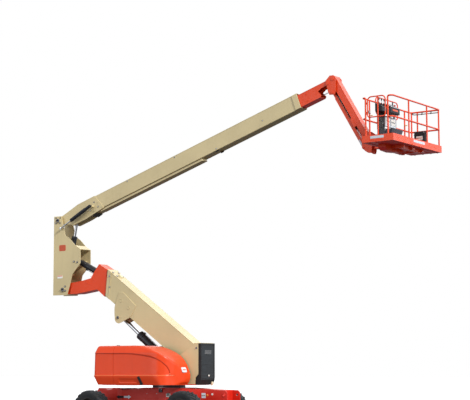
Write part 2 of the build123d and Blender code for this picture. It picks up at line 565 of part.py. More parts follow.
ZT = PL_Z + PL_H - TUBE                      # top rail
ZM = PL_Z + 572                              # mid rail
RX0, RX1, RY = X0 + 26, X1 - 26, YH - 26     # rail centre lines
NP0, NP1 = X0 + 95, X0 + 690                 # end posts either side of the gate
GATE_Z = (PL_Z + 700, PL_Z + 940)            # gate hinges


def tube_run(corners, radii, way, r=TUBE):
    """Round tube along straight runs joined by bends, corners in side-view X."""
    pts3 = [(sx(x), y, z) for x, y, z in corners]
    with BuildLine(mode=Mode.PRIVATE) as line:
        FilletPolyline(*pts3, radius=radii)
    with BuildSketch(Plane(origin=pts3[0], z_dir=way), mode=Mode.PRIVATE) as sk:
        Circle(r)
    sweep(sections=sk.sketch, path=line.wires()[0])


with BuildPart() as platform_rails:
    # top rail, bent down into the posts beside the gate, and the mid rail
    tube_run([(NP0, -RY, PL_Z + 30), (NP0, -RY, ZT), (RX0, -RY, ZT), (RX0, RY, ZT), (RX1, RY, ZT), (RX1, -RY, ZT), (NP1, -RY, ZT),
              (NP1, -RY, PL_Z + 30)], [32, 34, 70, 70, 70, 40], (0, 0, 1))
    tube_run([(NP0, -RY, ZM), (RX0, -RY, ZM), (RX0, RY, ZM), (RX1, RY, ZM), (RX1, -RY, ZM), (NP1, -RY, ZM)],
             [50, 70, 70, 70], (-1, 0, 0))
    # guard hoop over the console, in the plane of the rear rails
    for a, b in ((-594, 0), (505, 0)):
        tube_run([(RX0, b, PL_Z + 1210), (RX0, a, PL_Z + 1210), (RX0, a, PL_Z + 790), (RX0, b, PL_Z + 790)], [95, 95],
                 (0, -1 if a < 0 else 1, 0), 15)
    post_z(RX0, -450, 12, PL_Z + 790, PL_Z + 1210)
    POSTS = ((RX0, -900), (RX0, 860), (X0 + 45, RY - 21), (X0 + 198, RY), (X1 - 45, RY - 21), (RX1, -410), (RX1, 520))   # x, y
    for x, y in POSTS:
        post_z(x, y, TUBE - 1, PL_Z + 30, ZT)
    # gate hinge pins on tabs welded to the post
    for z in GATE_Z:
        post_z(NP0 + 30, -RY, 4.9, z - 34, z + 34)
        for a in (z - 34, z + 25):
            box(NP0 + 12, NP0 + 35.5, -RY - 7, -RY + 7, a, a + 9)
save(platform_rails, "platform_rails")

with BuildPart() as gate:
    zc = (ZM + 26 + PL_Z + 1085) / 2
    xm = X0 + 425
    for a in (GATE_A, GATE_B):
        tube_run([(xm, -RY, PL_Z + 1085), (a, -RY, PL_Z + 1085), (a, -RY, ZM + 26), (xm, -RY, ZM + 26)], [100, 60],
                 (1 if a > xm else -1, 0, 0), 15)
    post_z(xm, -RY, 15, PL_Z + 50, PL_Z + 1085)
    # toe plate and hinge lugs
    box(X0 + 205, X0 + 635, -YH + 2, -YH + 12, PL_Z + 36, PL_Z + 162)
    for z in GATE_Z:
        box(NP0 + 30, GATE_A, -RY - 8, -RY + 8, z - 20, z + 20)
        post_z(NP0 + 30, -RY, 9, z - 20, z + 20)
        post_z(NP0 + 30, -RY, 5.2, z - 21, z + 21, mode=Mode.SUBTRACT)
save(gate, "gate")

with BuildPart() as control_console:
    # sloping main panel and the lower panel beside it, on straps to the rails
    side([(RX0 + 40, 7700), (RX0 + 240, 7700), (RX0 + 240, 7850), (RX0 + 40, 7945)], -300, 160)
    side([(RX0 + 40, 7690), (RX0 + 225, 7690), (RX0 + 225, 7800), (RX0 + 40, 7890)], -700, -290)
    for y in (-560, -250, 100):
        box(RX0 + 18, RX0 + 45, y - 25, y + 25, 7700, 7860)
save(control_console, "control_console")

with BuildPart() as storage_box:
    box(X1 - 350, X1 - 47, 452, 530, PL_Z + 31, PL_Z + 428)
    fillet(storage_box.edges().filter_by(Axis.Z), 18)
save(storage_box, "storage_box")

# overall size, to keep the frame's origin under the middle of the box
lo = [1e9] * 3
hi = [-1e9] * 3
for name, part in written:
    bb = part.bounding_box()
    for i, (a, b) in enumerate(((bb.min.X, bb.max.X), (bb.min.Y, bb.max.Y), (bb.min.Z, bb.max.Z))):
        lo[i], hi[i] = min(lo[i], a), max(hi[i], b)
print("box", [round(v, 2) for v in lo], [round(v, 2) for v in hi], "centre x", round((lo[0] + hi[0]) / 2, 3))
print("nose pin", NOSE_P, "K1", K1, "K2", K2)
print(len(written), "pieces")
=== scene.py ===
import bpy
import json
import math
import numpy as np
from mathutils import Vector, Matrix


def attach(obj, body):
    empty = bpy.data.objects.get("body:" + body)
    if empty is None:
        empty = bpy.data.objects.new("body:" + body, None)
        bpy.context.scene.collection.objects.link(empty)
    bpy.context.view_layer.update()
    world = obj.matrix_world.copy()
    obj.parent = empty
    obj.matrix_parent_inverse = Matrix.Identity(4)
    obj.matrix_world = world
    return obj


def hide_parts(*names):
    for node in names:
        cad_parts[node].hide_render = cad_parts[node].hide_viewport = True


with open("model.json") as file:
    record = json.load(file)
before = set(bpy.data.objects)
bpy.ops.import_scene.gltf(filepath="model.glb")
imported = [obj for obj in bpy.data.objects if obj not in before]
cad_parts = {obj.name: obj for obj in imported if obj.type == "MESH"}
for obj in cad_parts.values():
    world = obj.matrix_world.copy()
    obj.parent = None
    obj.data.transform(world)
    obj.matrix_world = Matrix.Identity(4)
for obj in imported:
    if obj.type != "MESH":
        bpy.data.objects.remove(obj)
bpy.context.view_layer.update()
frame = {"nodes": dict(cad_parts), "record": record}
NODES = frame["nodes"]
rng = np.random.default_rng(7)

# ---------------------------------------------------------------------------
# Numbers come in millimetres from the swing centre, as in the CAD source.
# P() turns them into the frame's metres.
# ---------------------------------------------------------------------------
SWING = -1777.5
MAIN_P, MAIN_A = (-3774.0, 5740.0), 17.95
TOWER_P, TOWER_A = (700.0, 1632.0), 35.2
JIB_A, JIB_L = 59.5, 1700.0
J1, J2 = (5205.0, 8750.0), (5190.0, 8410.0)
ca, sa = math.cos(math.radians(MAIN_A)), math.sin(math.radians(MAIN_A))
ct, st = math.cos(math.radians(TOWER_A)), math.sin(math.radians(TOWER_A))
cj, sj = math.cos(math.radians(JIB_A)), math.sin(math.radians(JIB_A))
K1 = (J1[0] + JIB_L * cj, J1[1] - JIB_L * sj)
K2 = (J2[0] + JIB_L * cj, J2[1] - JIB_L * sj)
PX0, PX1, PYH, PZ = 6645.0, 7485.0, 1240.0, 6860.0
RX0, RX1, RY = PX0 + 26, PX1 - 26, PYH - 26


def P(x, y, z):
    return np.array(((x + SWING) / 1000.0, y / 1000.0, z / 1000.0))


def main(s, d, y):
    return P(MAIN_P[0] + s * ca - d * sa, y, MAIN_P[1] + s * sa + d * ca)


def tower(s, d, y):
    return P(TOWER_P[0] - s * ct + d * st, y, TOWER_P[1] + s * st + d * ct)


def jib(s, d, y, root=J1):
    return P(root[0] + s * cj + d * sj, y, root[1] - s * sj + d * cj)


MAIN_S, MAIN_D = np.array((ca, 0, sa)), np.array((-sa, 0, ca))
TOW_S, TOW_D = np.array((-ct, 0, st)), np.array((st, 0, ct))
JIB_S, JIB_D = np.array((cj, 0, -sj)), np.array((sj, 0, cj))
EX, EY, EZ = np.eye(3)


# ------------------------------------------------------------------ materials
def graph(name):
    m = bpy.data.materials.new(name)
    m.use_nodes = True
    nt = m.node_tree
    nt.nodes.clear()
    out = nt.nodes.new("ShaderNodeOutputMaterial")
    b = nt.nodes.new("ShaderNodeBsdfPrincipled")
    nt.links.new(b.outputs[0], out.inputs[0])
    return m, nt, b


def link(nt, a, b):
    nt.links.new(a, b)


def put(nt, sock, v):
    if isinstance(v, bpy.types.NodeSocket):
        nt.links.new(v, sock)
    else:
        sock.default_value = v


def mth(nt, op, a, b=0.5, clamp=False):
    n = nt.nodes.new("ShaderNodeMath")
    n.operation = op
    n.use_clamp = clamp
    put(nt, n.inputs[0], a)
    put(nt, n.inputs[1], b)
    return n.outputs[0]


def span(nt, v, a, b, c=0.0, d=1.0, smooth=True):
    n = nt.nodes.new("ShaderNodeMapRange")
    n.interpolation_type = "SMOOTHSTEP" if smooth else "LINEAR"
    put(nt, n.inputs[0], v)
    for i, x in enumerate((a, b, c, d)):
        n.inputs[i + 1].default_value = x
    return n.outputs[0]


def blend(nt, f, a, b):
    n = nt.nodes.new("ShaderNodeMix")
    n.data_type = "RGBA"
    put(nt, n.inputs[0], f)
    put(nt, n.inputs[6], a)
    put(nt, n.inputs[7], b)
    return n.outputs[2]


def coords(nt, scale=(1, 1, 1)):
    c = nt.nodes.new("ShaderNodeTexCoord").outputs["Object"]
    if scale == (1, 1, 1):
        return c
    m = nt.nodes.new("ShaderNodeMapping")
    m.inputs["Scale"].default_value = scale
    link(nt, c, m.inputs[0])
    return m.outputs[0]


def noise(nt, scale, detail=4, rough=0.55, stretch=(1, 1, 1)):
    n = nt.nodes.new("ShaderNodeTexNoise")
    n.inputs["Scale"].default_value = scale
    n.inputs["Detail"].default_value = detail
    n.inputs["Roughness"].default_value = rough
    link(nt, coords(nt, stretch), n.inputs["Vector"])
    return n.outputs[0]


def bump(nt, height, strength, dist, normal=None):
    n = nt.nodes.new("ShaderNodeBump")
    n.inputs["Strength"].default_value = strength
    n.inputs["Distance"].default_value = dist
    link(nt, height, n.inputs["Height"])
    if normal is not None:
        link(nt, normal, n.inputs["Normal"])
    return n.outputs[0]


def rgb(c, k=1.0):
    return (c[0] * k, c[1] * k, c[2] * k, 1.0)


def srgb(r, g, b):
    f = lambda v: v / 12.92 if v <= 0.04045 else ((v + 0.055) / 1.055) ** 2.4
    return (f(r / 255), f(g / 255), f(b / 255))


DUST = srgb(150, 136, 112)
MUD = srgb(96, 80, 62)


def paint(name, base, rough=0.42, coat=0.15, dust=0.18, low=0.0, edge=0.35, edge_to=None, peel=0.05, fade=0.06, bevel=0.005, underside_shade=None):
    """Sprayed enamel: uneven fading, rain streaks, dust on top faces, rubbed edges, orange peel, and painted shade on
    downward faces when an underside colour is given.
    """
    m, nt, b = graph(name)
    big, mid = noise(nt, 0.8, 5), noise(nt, 6.5, 6, 0.62)
    streak = noise(nt, 5.0, 4, 0.6, (1.4, 1.4, 0.12))
    col = blend(nt, span(nt, big, 0.3, 0.7), rgb(base, 1 - fade), rgb(base, 1 + fade))
    col = blend(nt, span(nt, streak, 0.52, 0.78, 0, 0.16), col, rgb(base, 0.62))
    geo = nt.nodes.new("ShaderNodeNewGeometry")
    bev = nt.nodes.new("ShaderNodeBevel")
    bev.samples = 4
    bev.inputs[0].default_value = bevel
    sep = nt.nodes.new("ShaderNodeSeparateXYZ")
    link(nt, geo.outputs["Normal"], sep.inputs[0])
    # faces turned downwards blend to a darker underside colour: painted shade
    if underside_shade:
        col = blend(nt, span(nt, sep.outputs[2], -0.45, -0.8), col, rgb(underside_shade))
    up = span(nt, sep.outputs[2], 0.35, 0.95)
    film = mth(nt, "MULTIPLY", up, span(nt, mid, 0.35, 0.72, 0.15, dust * 1.6))
    col = blend(nt, film, col, rgb(DUST))
    if low:
        pos = nt.nodes.new("ShaderNodeSeparateXYZ")
        link(nt, coords(nt), pos.inputs[0])
        near = span(nt, pos.outputs[2], 0.35, 1.25, 1.0, 0.0)
        col = blend(nt, mth(nt, "MULTIPLY", near, span(nt, mid, 0.3, 0.75, 0.1, low)), col, rgb(MUD))
    dot = nt.nodes.new("ShaderNodeVectorMath")
    dot.operation = "DOT_PRODUCT"
    link(nt, bev.outputs[0], dot.inputs[0])
    link(nt, geo.outputs["Normal"], dot.inputs[1])
    rub = mth(nt, "MULTIPLY", span(nt, dot.outputs["Value"], 0.93, 0.76), span(nt, noise(nt, 22, 5, 0.7), 0.42, 0.7, 0.1, edge))
    col = blend(nt, rub, col, rgb(edge_to or tuple(min(1, x * 1.2 + 0.015) for x in base)))
    link(nt, col, b.inputs["Base Color"])
    rg = mth(nt, "ADD", span(nt, mid, 0.3, 0.75, rough - 0.06, rough + 0.1), mth(nt, "MULTIPLY", film, 0.5), True)
    link(nt, rg, b.inputs["Roughness"])
    b.inputs["Coat Weight"].default_value = coat
    b.inputs["Coat Roughness"].default_value = 0.2
    b.inputs["Specular IOR Level"].default_value = 0.32
    link(nt, bump(nt, noise(nt, 140, 2), peel, 0.002, bump(nt, noise(nt, 3.2, 3), 0.12, 0.006, bev.outputs[0])), b.inputs["Normal"])
    return m


def plastic(name, base, rough=0.55, grain=220, depth=0.25, dust=0.3, spec=0.4):
    m, nt, b = graph(name)
    mid = noise(nt, 9, 5, 0.6)
    geo = nt.nodes.new("ShaderNodeNewGeometry")
    sep = nt.nodes.new("ShaderNodeSeparateXYZ")
    link(nt, geo.outputs["Normal"], sep.inputs[0])
    film = mth(nt, "MULTIPLY", span(nt, sep.outputs[2], 0.2, 0.95, 0.25, 1), span(nt, mid, 0.35, 0.75, 0.0, dust))
    col = blend(nt, span(nt, noise(nt, 1.7, 4), 0.3, 0.7), rgb(base, 0.85), rgb(base, 1.2))
    col = blend(nt, film, col, rgb(DUST, 0.7))
    link(nt, col, b.inputs["Base Color"])
    link(nt, span(nt, mid, 0.3, 0.7, rough - 0.08, rough + 0.12), b.inputs["Roughness"])
    b.inputs["Specular IOR Level"].default_value = spec
    bev = nt.nodes.new("ShaderNodeBevel")
    bev.samples = 4
    bev.inputs[0].default_value = 0.004
    link(nt, bump(nt, noise(nt, grain, 2), depth, 0.0015, bev.outputs[0]), b.inputs["Normal"])
    return m


def metal(name, base, rough=0.3, dirt=0.2, scratch=40, stretch=(1, 1, 1), tint=MUD, metallic=1.0):
    m, nt, b = graph(name)
    mid = noise(nt, 14, 6, 0.65)
    col = blend(nt, span(nt, mid, 0.45, 0.8, 0, dirt), rgb(base), rgb(tint))
    link(nt, col, b.inputs["Base Color"])
    b.inputs["Metallic"].default_value = metallic
    fine = noise(nt, scratch, 3, 0.6, stretch)
    link(nt, mth(nt, "ADD", span(nt, fine, 0.3, 0.7, rough - 0.05, rough + 0.12), span(nt, mid, 0.45, 0.8, 0, dirt * 0.5)), b.inputs["Roughness"])
    bev = nt.nodes.new("ShaderNodeBevel")
    bev.samples = 4
    bev.inputs[0].default_value = 0.003
    link(nt, bump(nt, fine, 0.12, 0.0008, bev.outputs[0]), b.inputs["Normal"])
    return m


def rubber(name, base=srgb(38, 38, 42), dust=0.5, rough=0.72):
    m, nt, b = graph(name)
    mid = noise(nt, 11, 6, 0.65)
    pos = nt.nodes.new("ShaderNodeSeparateXYZ")
    link(nt, coords(nt), pos.inputs[0])
    low = span(nt, pos.outputs[2], 0.0, 1.1, 1.0, 0.25)
    col = blend(nt, span(nt, noise(nt, 2.2, 4), 0.3, 0.7), rgb(base, 0.75), rgb(base, 1.3))
    col = blend(nt, mth(nt, "MULTIPLY", low, span(nt, mid, 0.42, 0.72, 0.0, dust)), col, rgb(DUST, 0.75))
    link(nt, col, b.inputs["Base Color"])
    link(nt, span(nt, mid, 0.3, 0.7, rough - 0.1, rough + 0.14), b.inputs["Roughness"])
    link(nt, bump(nt, noise(nt, 160, 3), 0.3, 0.0015), b.inputs["Normal"])
    return m


def tread(name, base):
    """Raised diamond pattern on floor plate."""
    m, nt, b = graph(name)
    v = nt.nodes.new("ShaderNodeTexVoronoi")
    v.inputs["Scale"].default_value = 34
    link(nt, coords(nt, (1.0, 0.7, 1.0)), v.inputs["Vector"])
    mid = noise(nt, 9, 6, 0.6)
    worn = span(nt, v.outputs["Distance"], 0.1, 0.35, 0.75, 0.0)
    col = blend(nt, span(nt, mid, 0.35, 0.75, 0, 0.5), rgb(base), rgb(MUD))
    col = blend(nt, mth(nt, "MULTIPLY", worn, span(nt, mid, 0.3, 0.7, 0.1, 0.6)), col, rgb(srgb(150, 148, 144)))
    link(nt, col, b.inputs["Base Color"])
    link(nt, span(nt, mid, 0.3, 0.7, 0.4, 0.7), b.inputs["Roughness"])
    link(nt, bump(nt, span(nt, v.outputs["Distance"], 0.05, 0.4, 1, 0), 0.7, 0.003), b.inputs["Normal"])
    return m


ORANGE, ORANGE_RED = srgb(228, 68, 18), srgb(212, 34, 16)
BEIGE = srgb(210, 193, 148)
M = {
    # the orange's underside colour darkens its downward faces: painted shade
    "orange": paint("orange_enamel", ORANGE, dust=0.05, edge=0.1, underside_shade=srgb(214, 36, 30)),
    # dark orange line for the hood creases: painted shade
    "crease_shade": paint("hood_crease_painted_shade", srgb(176, 40, 20), dust=0.0, edge=0.0),
    # light orange line for the lower crease: painted highlight
    "crease_highlight": paint("hood_crease_painted_highlight", srgb(250, 128, 72), dust=0.0, edge=0.0),
    # darker red copy of the orange for the platform's underside: painted shade
    "orange_underside_shade": paint("orange_underside_painted_shade", srgb(206, 34, 24), dust=0.05, underside_shade=srgb(200, 30, 22)),
    "hood": paint("hood_enamel", srgb(230, 68, 20), rough=0.38, coat=0.22, dust=0.05, edge=0.1, bevel=0.003),
    "orange_red": paint("chassis_enamel", ORANGE_RED, rough=0.45, low=0.18, dust=0.15),
    # the beige's underside colour darkens its downward faces: painted shade
    "beige": paint("boom_enamel", BEIGE, rough=0.4, dust=0.06, edge_to=srgb(150, 128, 96), underside_shade=srgb(150, 134, 84)),
    # lighter copy of the beige for top faces: painted highlight
    "beige_top_highlight": paint("beige_top_painted_highlight", srgb(236, 226, 192), rough=0.4, dust=0.05, edge_to=srgb(180, 158, 116)),
    "black_paint": paint("black_enamel", srgb(26, 29, 37), rough=0.42, coat=0.2, dust=0.1, edge_to=srgb(70, 72, 78)),
    "rim": paint("rim_enamel", srgb(52, 50, 52), rough=0.5, low=0.5, coat=0.1),
    "plastic": plastic("black_moulding", srgb(26, 29, 37), dust=0.12),
    "cover": plastic("charcoal_moulding", srgb(13, 17, 21), rough=0.55, grain=160, dust=0.08),
    "grey": plastic("grey_moulding", srgb(128, 130, 132), rough=0.5, dust=0.4),
    "foam": rubber("foam_sleeve", srgb(52, 52, 56), dust=0.2),
    "tyre": rubber("tyre_rubber", srgb(29, 33, 38), dust=0.25),
    "hose": rubber("hose_rubber", srgb(26, 27, 30), dust=0.2, rough=0.5),
    "strap": rubber("strap_rubber", srgb(24, 24, 26), dust=0.15, rough=0.6),
    "steel": metal("zinc_bolt", srgb(170, 170, 172), 0.34, 0.3),
    "bare": metal("machined_steel", srgb(140, 140, 144), 0.38, 0.35),
    "chrome": metal("chrome_rod", srgb(214, 216, 220), 0.12, 0.08, 60, (1, 1, 1)),
    "iron": metal("cast_iron", srgb(70, 70, 72), 0.6, 0.5, 30, metallic=0.4),
    "brass": metal("brass_fitting", srgb(190, 160, 96), 0.35, 0.3),
    "white": plastic("white_label", srgb(232, 232, 226), rough=0.4, grain=40, depth=0.05, dust=0.12),
    "redlabel": plastic("red_label", srgb(214, 92, 58), rough=0.4, grain=40, depth=0.05, dust=0.12),
    "yellow": plastic("yellow_label", srgb(226, 180, 52), rough=0.4, grain=40, depth=0.05, dust=0.12),
    "lens": plastic("amber_lens", srgb(232, 120, 30), rough=0.2, grain=60, depth=0.1, dust=0.1, spec=0.6),
    "redbtn": plastic("red_button", srgb(196, 30, 26), rough=0.3, grain=60, depth=0.05, dust=0.1, spec=0.6),
    "tread": tread("floor_plate", ORANGE),
    "dark": plastic("shadow_black", srgb(20, 20, 22), rough=0.8),
    "doc": plastic("pale_sheet", srgb(206, 214, 224), rough=0.4, grain=60, depth=0.05, dust=0.08),
    "grey2": plastic("dark_grey_sheet", srgb(72, 82, 92), rough=0.5, grain=90, dust=0.1),
    "panel": plastic("slate_panel", srgb(17, 25, 31), rough=0.45, grain=120, dust=0.1),
    "tread2": tread("pedal_plate", srgb(40, 42, 46)),
}


# -------------------------------------------------------------------- meshes
class Bag:
    """Collects faces of several materials into one mesh."""

    def __init__(self):
        self.v, self.f, self.m, self.mats, self.n = [], [], [], [], 0

    def add(self, verts, faces, mat):
        verts = np.asarray(verts, float).reshape(-1, 3)
        if mat not in self.mats:
            self.mats.append(mat)
        k = self.mats.index(mat)
        self.v.append(verts)
        self.f += [tuple(i + self.n for i in f) for f in faces]
        self.m += [k] * len(faces)
        self.n += len(verts)

    def make(self, name, body, sharp=32, replaces=()):
        me = bpy.data.meshes.new(name)
        me.from_pydata([tuple(p) for p in np.concatenate(self.v)], [], self.f)
        for k in self.mats:
            me.materials.append(M[k])
        me.polygons.foreach_set("material_index", np.array(self.m, np.int32))
        me.polygons.foreach_set("use_smooth", np.ones(len(self.f), bool))
        me.validate()
        me.update()
        me.set_sharp_from_angle(angle=math.radians(sharp))
        ob = bpy.data.objects.new(name, me)
        bpy.context.scene.collection.objects.link(ob)
        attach(ob, body)
        if replaces:
            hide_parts(*replaces)
        return ob


def unit(v):
    v = np.asarray(v, float)
    return v / np.linalg.norm(v)


def basis(d):
    d = unit(d)
    a = EZ if abs(d[2]) < 0.9 else EX
    x = unit(np.cross(a, d))
    return x, np.cross(d, x), d


def lathe(bag, o, axis, profile, mat, n=24, phase=0.0):
    """Profile of (radius, height) in metres turned about an axis through o."""
    x, y, z = basis(axis)
    verts, rings = [], []
    for r, h in profile:
        if r < 1e-6:
            rings.append([len(verts)])
            verts.append(o + z * h)
        else:
            k = len(verts)
            for i in range(n):
                a = phase + 2 * math.pi * i / n
                verts.append(o + z * h + r * (x * math.cos(a) + y * math.sin(a)))
            rings.append(list(range(k, k + n)))
    faces = []
    for a, b in zip(rings, rings[1:]):
        for i in range(n):
            j = (i + 1) % n
            if len(a) == 1 and len(b) == 1:
                continue
            if len(a) == 1:
                faces.append((a[0], b[j], b[i]))
            elif len(b) == 1:
                faces.append((a[i], a[j], b[0]))
            else:
                faces.append((a[i], a[j], b[j], b[i]))
    bag.add(verts, faces, mat)


def disc(bag, o, axis, r, h, mat, n=28, b=0.003, hole=0.0):
    b = min(b, h * 0.4, r * 0.4)
    if hole:
        pr = [(hole, 0), (r - b, 0), (r, b), (r, h - b), (r - b, h), (hole + b, h), (hole, h - b), (hole, 0)]
    else:
        pr = [(0, 0), (r - b, 0), (r, b), (r, h - b), (r - b, h), (0, h)]
    lathe(bag, o, axis, pr, mat, n)


def bolt(bag, o, axis, r=0.012, mat="steel", washer=True):
    axis = unit(axis)
    h = 0.0
    if washer:
        disc(bag, o, axis, r * 1.35, r * 0.22, mat, 16, 0.001)
        h = r * 0.2
    pr = [(0, h), (r * 1.0, h), (r * 1.0, h + r * 0.55), (r * 0.86, h + r * 0.72), (0, h + r * 0.72)]
    lathe(bag, o, axis, pr, mat, 6, phase=0.3)


def pin(bag, o, axis, r, h, mat="steel", n=28):
    """Pin end with a chamfer and a recessed centre mark."""
    lathe(bag, o, axis, [(0, -0.002), (r, -0.002), (r, h * 0.7), (r * 0.9, h), (r * 0.22, h), (r * 0.16, h * 0.6), (0, h * 0.6)], mat, n)


def fillet_poly(pts, r, seg=4):
    """Closed 2-D polygon with its corners rounded; r is one number or one a corner."""
    pts = [np.array(p, float) for p in pts]
    k = len(pts)
    rr = r if isinstance(r, (list, tuple)) else [r] * k
    out = []
    for i in range(k):
        a, b, c = pts[i - 1], pts[i], pts[(i + 1) % k]
        u, v = unit(a - b), unit(c - b)
        cosang = float(np.clip(u @ v, -1, 1))
        half = math.acos(cosang) / 2
        if rr[i] <= 0 or half > 1.56:
            out.append(b)
            continue
        t = rr[i] / math.tan(half)
        t = min(t, 0.48 * np.linalg.norm(a - b), 0.48 * np.linalg.norm(c - b))
        rad = t * math.tan(half)
        cen = b + unit(u + v) * (rad / math.sin(half))
        p0, p1 = b + u * t, b + v * t
        a0, a1 = math.atan2(*(p0 - cen)[::-1]), math.atan2(*(p1 - cen)[::-1])
        d = (a1 - a0 + math.pi) % (2 * math.pi) - math.pi
        for j in range(seg + 1):
            a_ = a0 + d * j / seg
            out.append(cen + rad * np.array((math.cos(a_), math.sin(a_))))
    return np.array(out)


def area2(p):
    q = np.roll(p, -1, 0)
    return float((p[:, 0] * q[:, 1] - p[:, 1] * q[:, 0]).sum()) / 2


def inset(p, d):
    """Moves each corner of a counter-clockwise polygon inwards by d."""
    a, b, c = np.roll(p, 1, 0), p, np.roll(p, -1, 0)
    e0, e1 = b - a, c - b
    e0 /= np.maximum(np.linalg.norm(e0, axis=1, keepdims=True), 1e-9)
    e1 /= np.maximum(np.linalg.norm(e1, axis=1, keepdims=True), 1e-9)
    n0, n1 = np.stack((-e0[:, 1], e0[:, 0]), 1), np.stack((-e1[:, 1], e1[:, 0]), 1)
    m = n0 + n1
    k = 2 / np.maximum((m * m).sum(1, keepdims=True), 0.5)
    return p + m * d * k


def slab(bag, o, ex, ey, pts, depth, mat, bevel=0.003, r=0.0, seg=4):
    """Outline (metres) in the plane o, ex, ey, thickened along ex x ey, with chamfered rims."""
    p = np.array(pts, float) if not r else fillet_poly(pts, r, seg)
    if area2(p) < 0:
        p = p[::-1]
    ez = unit(np.cross(ex, ey))
    bevel = min(bevel, abs(depth) * 0.4)
    q = inset(p, bevel)
    lv = [(q, 0.0), (p, bevel), (p, depth - bevel), (q, depth)]
    n = len(p)
    verts = np.concatenate([o + a[:, :1] * ex + a[:, 1:] * ey + ez * h for a, h in lv])
    faces = []
    for k in range(3):
        for i in range(n):
            j = (i + 1) % n
            faces.append((k * n + i, k * n + j, (k + 1) * n + j, (k + 1) * n + i))
    faces.append(tuple(range(n - 1, -1, -1)))
    faces.append(tuple(3 * n + i for i in range(n)))
    bag.add(verts, faces, mat)


def block(bag, x, y, z, mat, bevel=0.004, r=0.0, axis="z"):
    """Chamfered block between (x0,x1),(y0,y1),(z0,z1) in swing millimetres."""
    (x0, x1), (y0, y1), (z0, z1) = x, y, z
    o = P(x0, y0, z0)
    dx, dy, dz = (x1 - x0) / 1000, (y1 - y0) / 1000, (z1 - z0) / 1000
    if axis == "z":
        slab(bag, o, EX, EY, [(0, 0), (dx, 0), (dx, dy), (0, dy)], dz, mat, bevel, r)
    elif axis == "y":
        slab(bag, o + EY * dy, EX, EZ, [(0, 0), (dx, 0), (dx, dz), (0, dz)], dy, mat, bevel, r)
    else:
        slab(bag, o, EY, EZ, [(0, 0), (dy, 0), (dy, dz), (0, dz)], dx, mat, bevel, r)


def plate(bag, o, u, v, w, h, t, mat, r=0.006, bevel=0.0015):
    """Thin rounded plate centred at o, w along u and h along v, standing t out along u x v."""
    slab(bag, o, unit(u), unit(v), [(-w / 2, -h / 2), (w / 2, -h / 2), (w / 2, h / 2), (-w / 2, h / 2)], t, mat, bevel, r, 3)


def smooth_path(pts, step=0.03, closed=False):
    """Catmull-Rom through points in metres."""
    pts = [np.array(p, float) for p in pts]
    ext = [2 * pts[0] - pts[1]] + pts + [2 * pts[-1] - pts[-2]]
    out = []
    for i in range(1, len(ext) - 2):
        p0, p1, p2, p3 = ext[i - 1:i + 3]
        n = max(2, int(np.linalg.norm(p2 - p1) / step))
        for k in range(n):
            t = k / n
            out.append(0.5 * (2 * p1 + (p2 - p0) * t + (2 * p0 - 5 * p1 + 4 * p2 - p3) * t * t + (3 * p1 - p0 - 3 * p2 + p3) * t ** 3))
    out.append(pts[-1])
    return np.array(out)


def tube(bag, path, r, mat, n=10, cap=True, wobble=None):
    """Round section swept along a path in metres with a steady frame."""
    path = np.asarray(path, float)
    t = np.gradient(path, axis=0)
    t /= np.maximum(np.linalg.norm(t, axis=1, keepdims=True), 1e-9)
    x, _, _ = basis(t[0])
    verts, ring = [], []
    for i, (p, d) in enumerate(zip(path, t)):
        x = unit(x - d * (x @ d))
        y = np.cross(d, x)
        rr = r if wobble is None else r * wobble[i % len(wobble)]
        for k in range(n):
            a = 2 * math.pi * k / n
            verts.append(p + rr * (x * math.cos(a) + y * math.sin(a)))
    m = len(path)
    faces = [(i * n + k, i * n + (k + 1) % n, (i + 1) * n + (k + 1) % n, (i + 1) * n + k) for i in range(m - 1) for k in range(n)]
    if cap:
        faces.append(tuple(range(n - 1, -1, -1)))
        faces.append(tuple((m - 1) * n + k for k in range(n)))
    bag.add(verts, faces, mat)


def hose(bag, pts, r=0.011, mat="hose", ends=True, step=0.03):
    """Hydraulic line along points with crimped steel ends."""
    path = smooth_path(pts, step)
    tube(bag, path, r, mat, 10)
    if ends:
        for a, b in ((path[0], path[1]), (path[-1], path[-2])):
            d = unit(b - a)
            lathe(bag, a - d * 0.012, d, [(0, 0), (r * 1.1, 0), (r * 1.1, 0.012), (r * 1.5, 0.014), (r * 1.5, 0.03), (r * 1.25, 0.034), (r * 1.25, 0.055), (r, 0.058)], "steel", 12)


def weld(bag, a, b, r=0.005, mat="orange"):
    """Rippled bead between two points in metres."""
    a, b = np.asarray(a, float), np.asarray(b, float)
    n = max(3, int(np.linalg.norm(b - a) / 0.012))
    path = np.array([a + (b - a) * i / n for i in range(n + 1)])
    tube(bag, path, r, mat, 6, True, (1.0, 0.78))


# ------------------------------------------------------------ bodywork field
def seg_field(poly, xs, ys):
    """Signed distance (negative inside) of a polygon on a grid."""
    gx, gy = np.meshgrid(xs, ys, indexing="ij")
    best = np.full(gx.shape, 1e18)
    inside = np.zeros(gx.shape, bool)
    q = np.roll(poly, -1, 0)
    for (ax, ay), (bx, by) in zip(poly, q):
        dx, dy = bx - ax, by - ay
        t = np.clip(((gx - ax) * dx + (gy - ay) * dy) / max(dx * dx + dy * dy, 1e-9), 0, 1)
        best = np.minimum(best, (gx - ax - t * dx) ** 2 + (gy - ay - t * dy) ** 2)
        c = ((ay > gy) != (by > gy)) & (gx < (bx - ax) * (gy - ay) / (by - ay if by != ay else 1e-9) + ax)
        inside ^= c
    d = np.sqrt(best)
    return np.where(inside, -d, d)


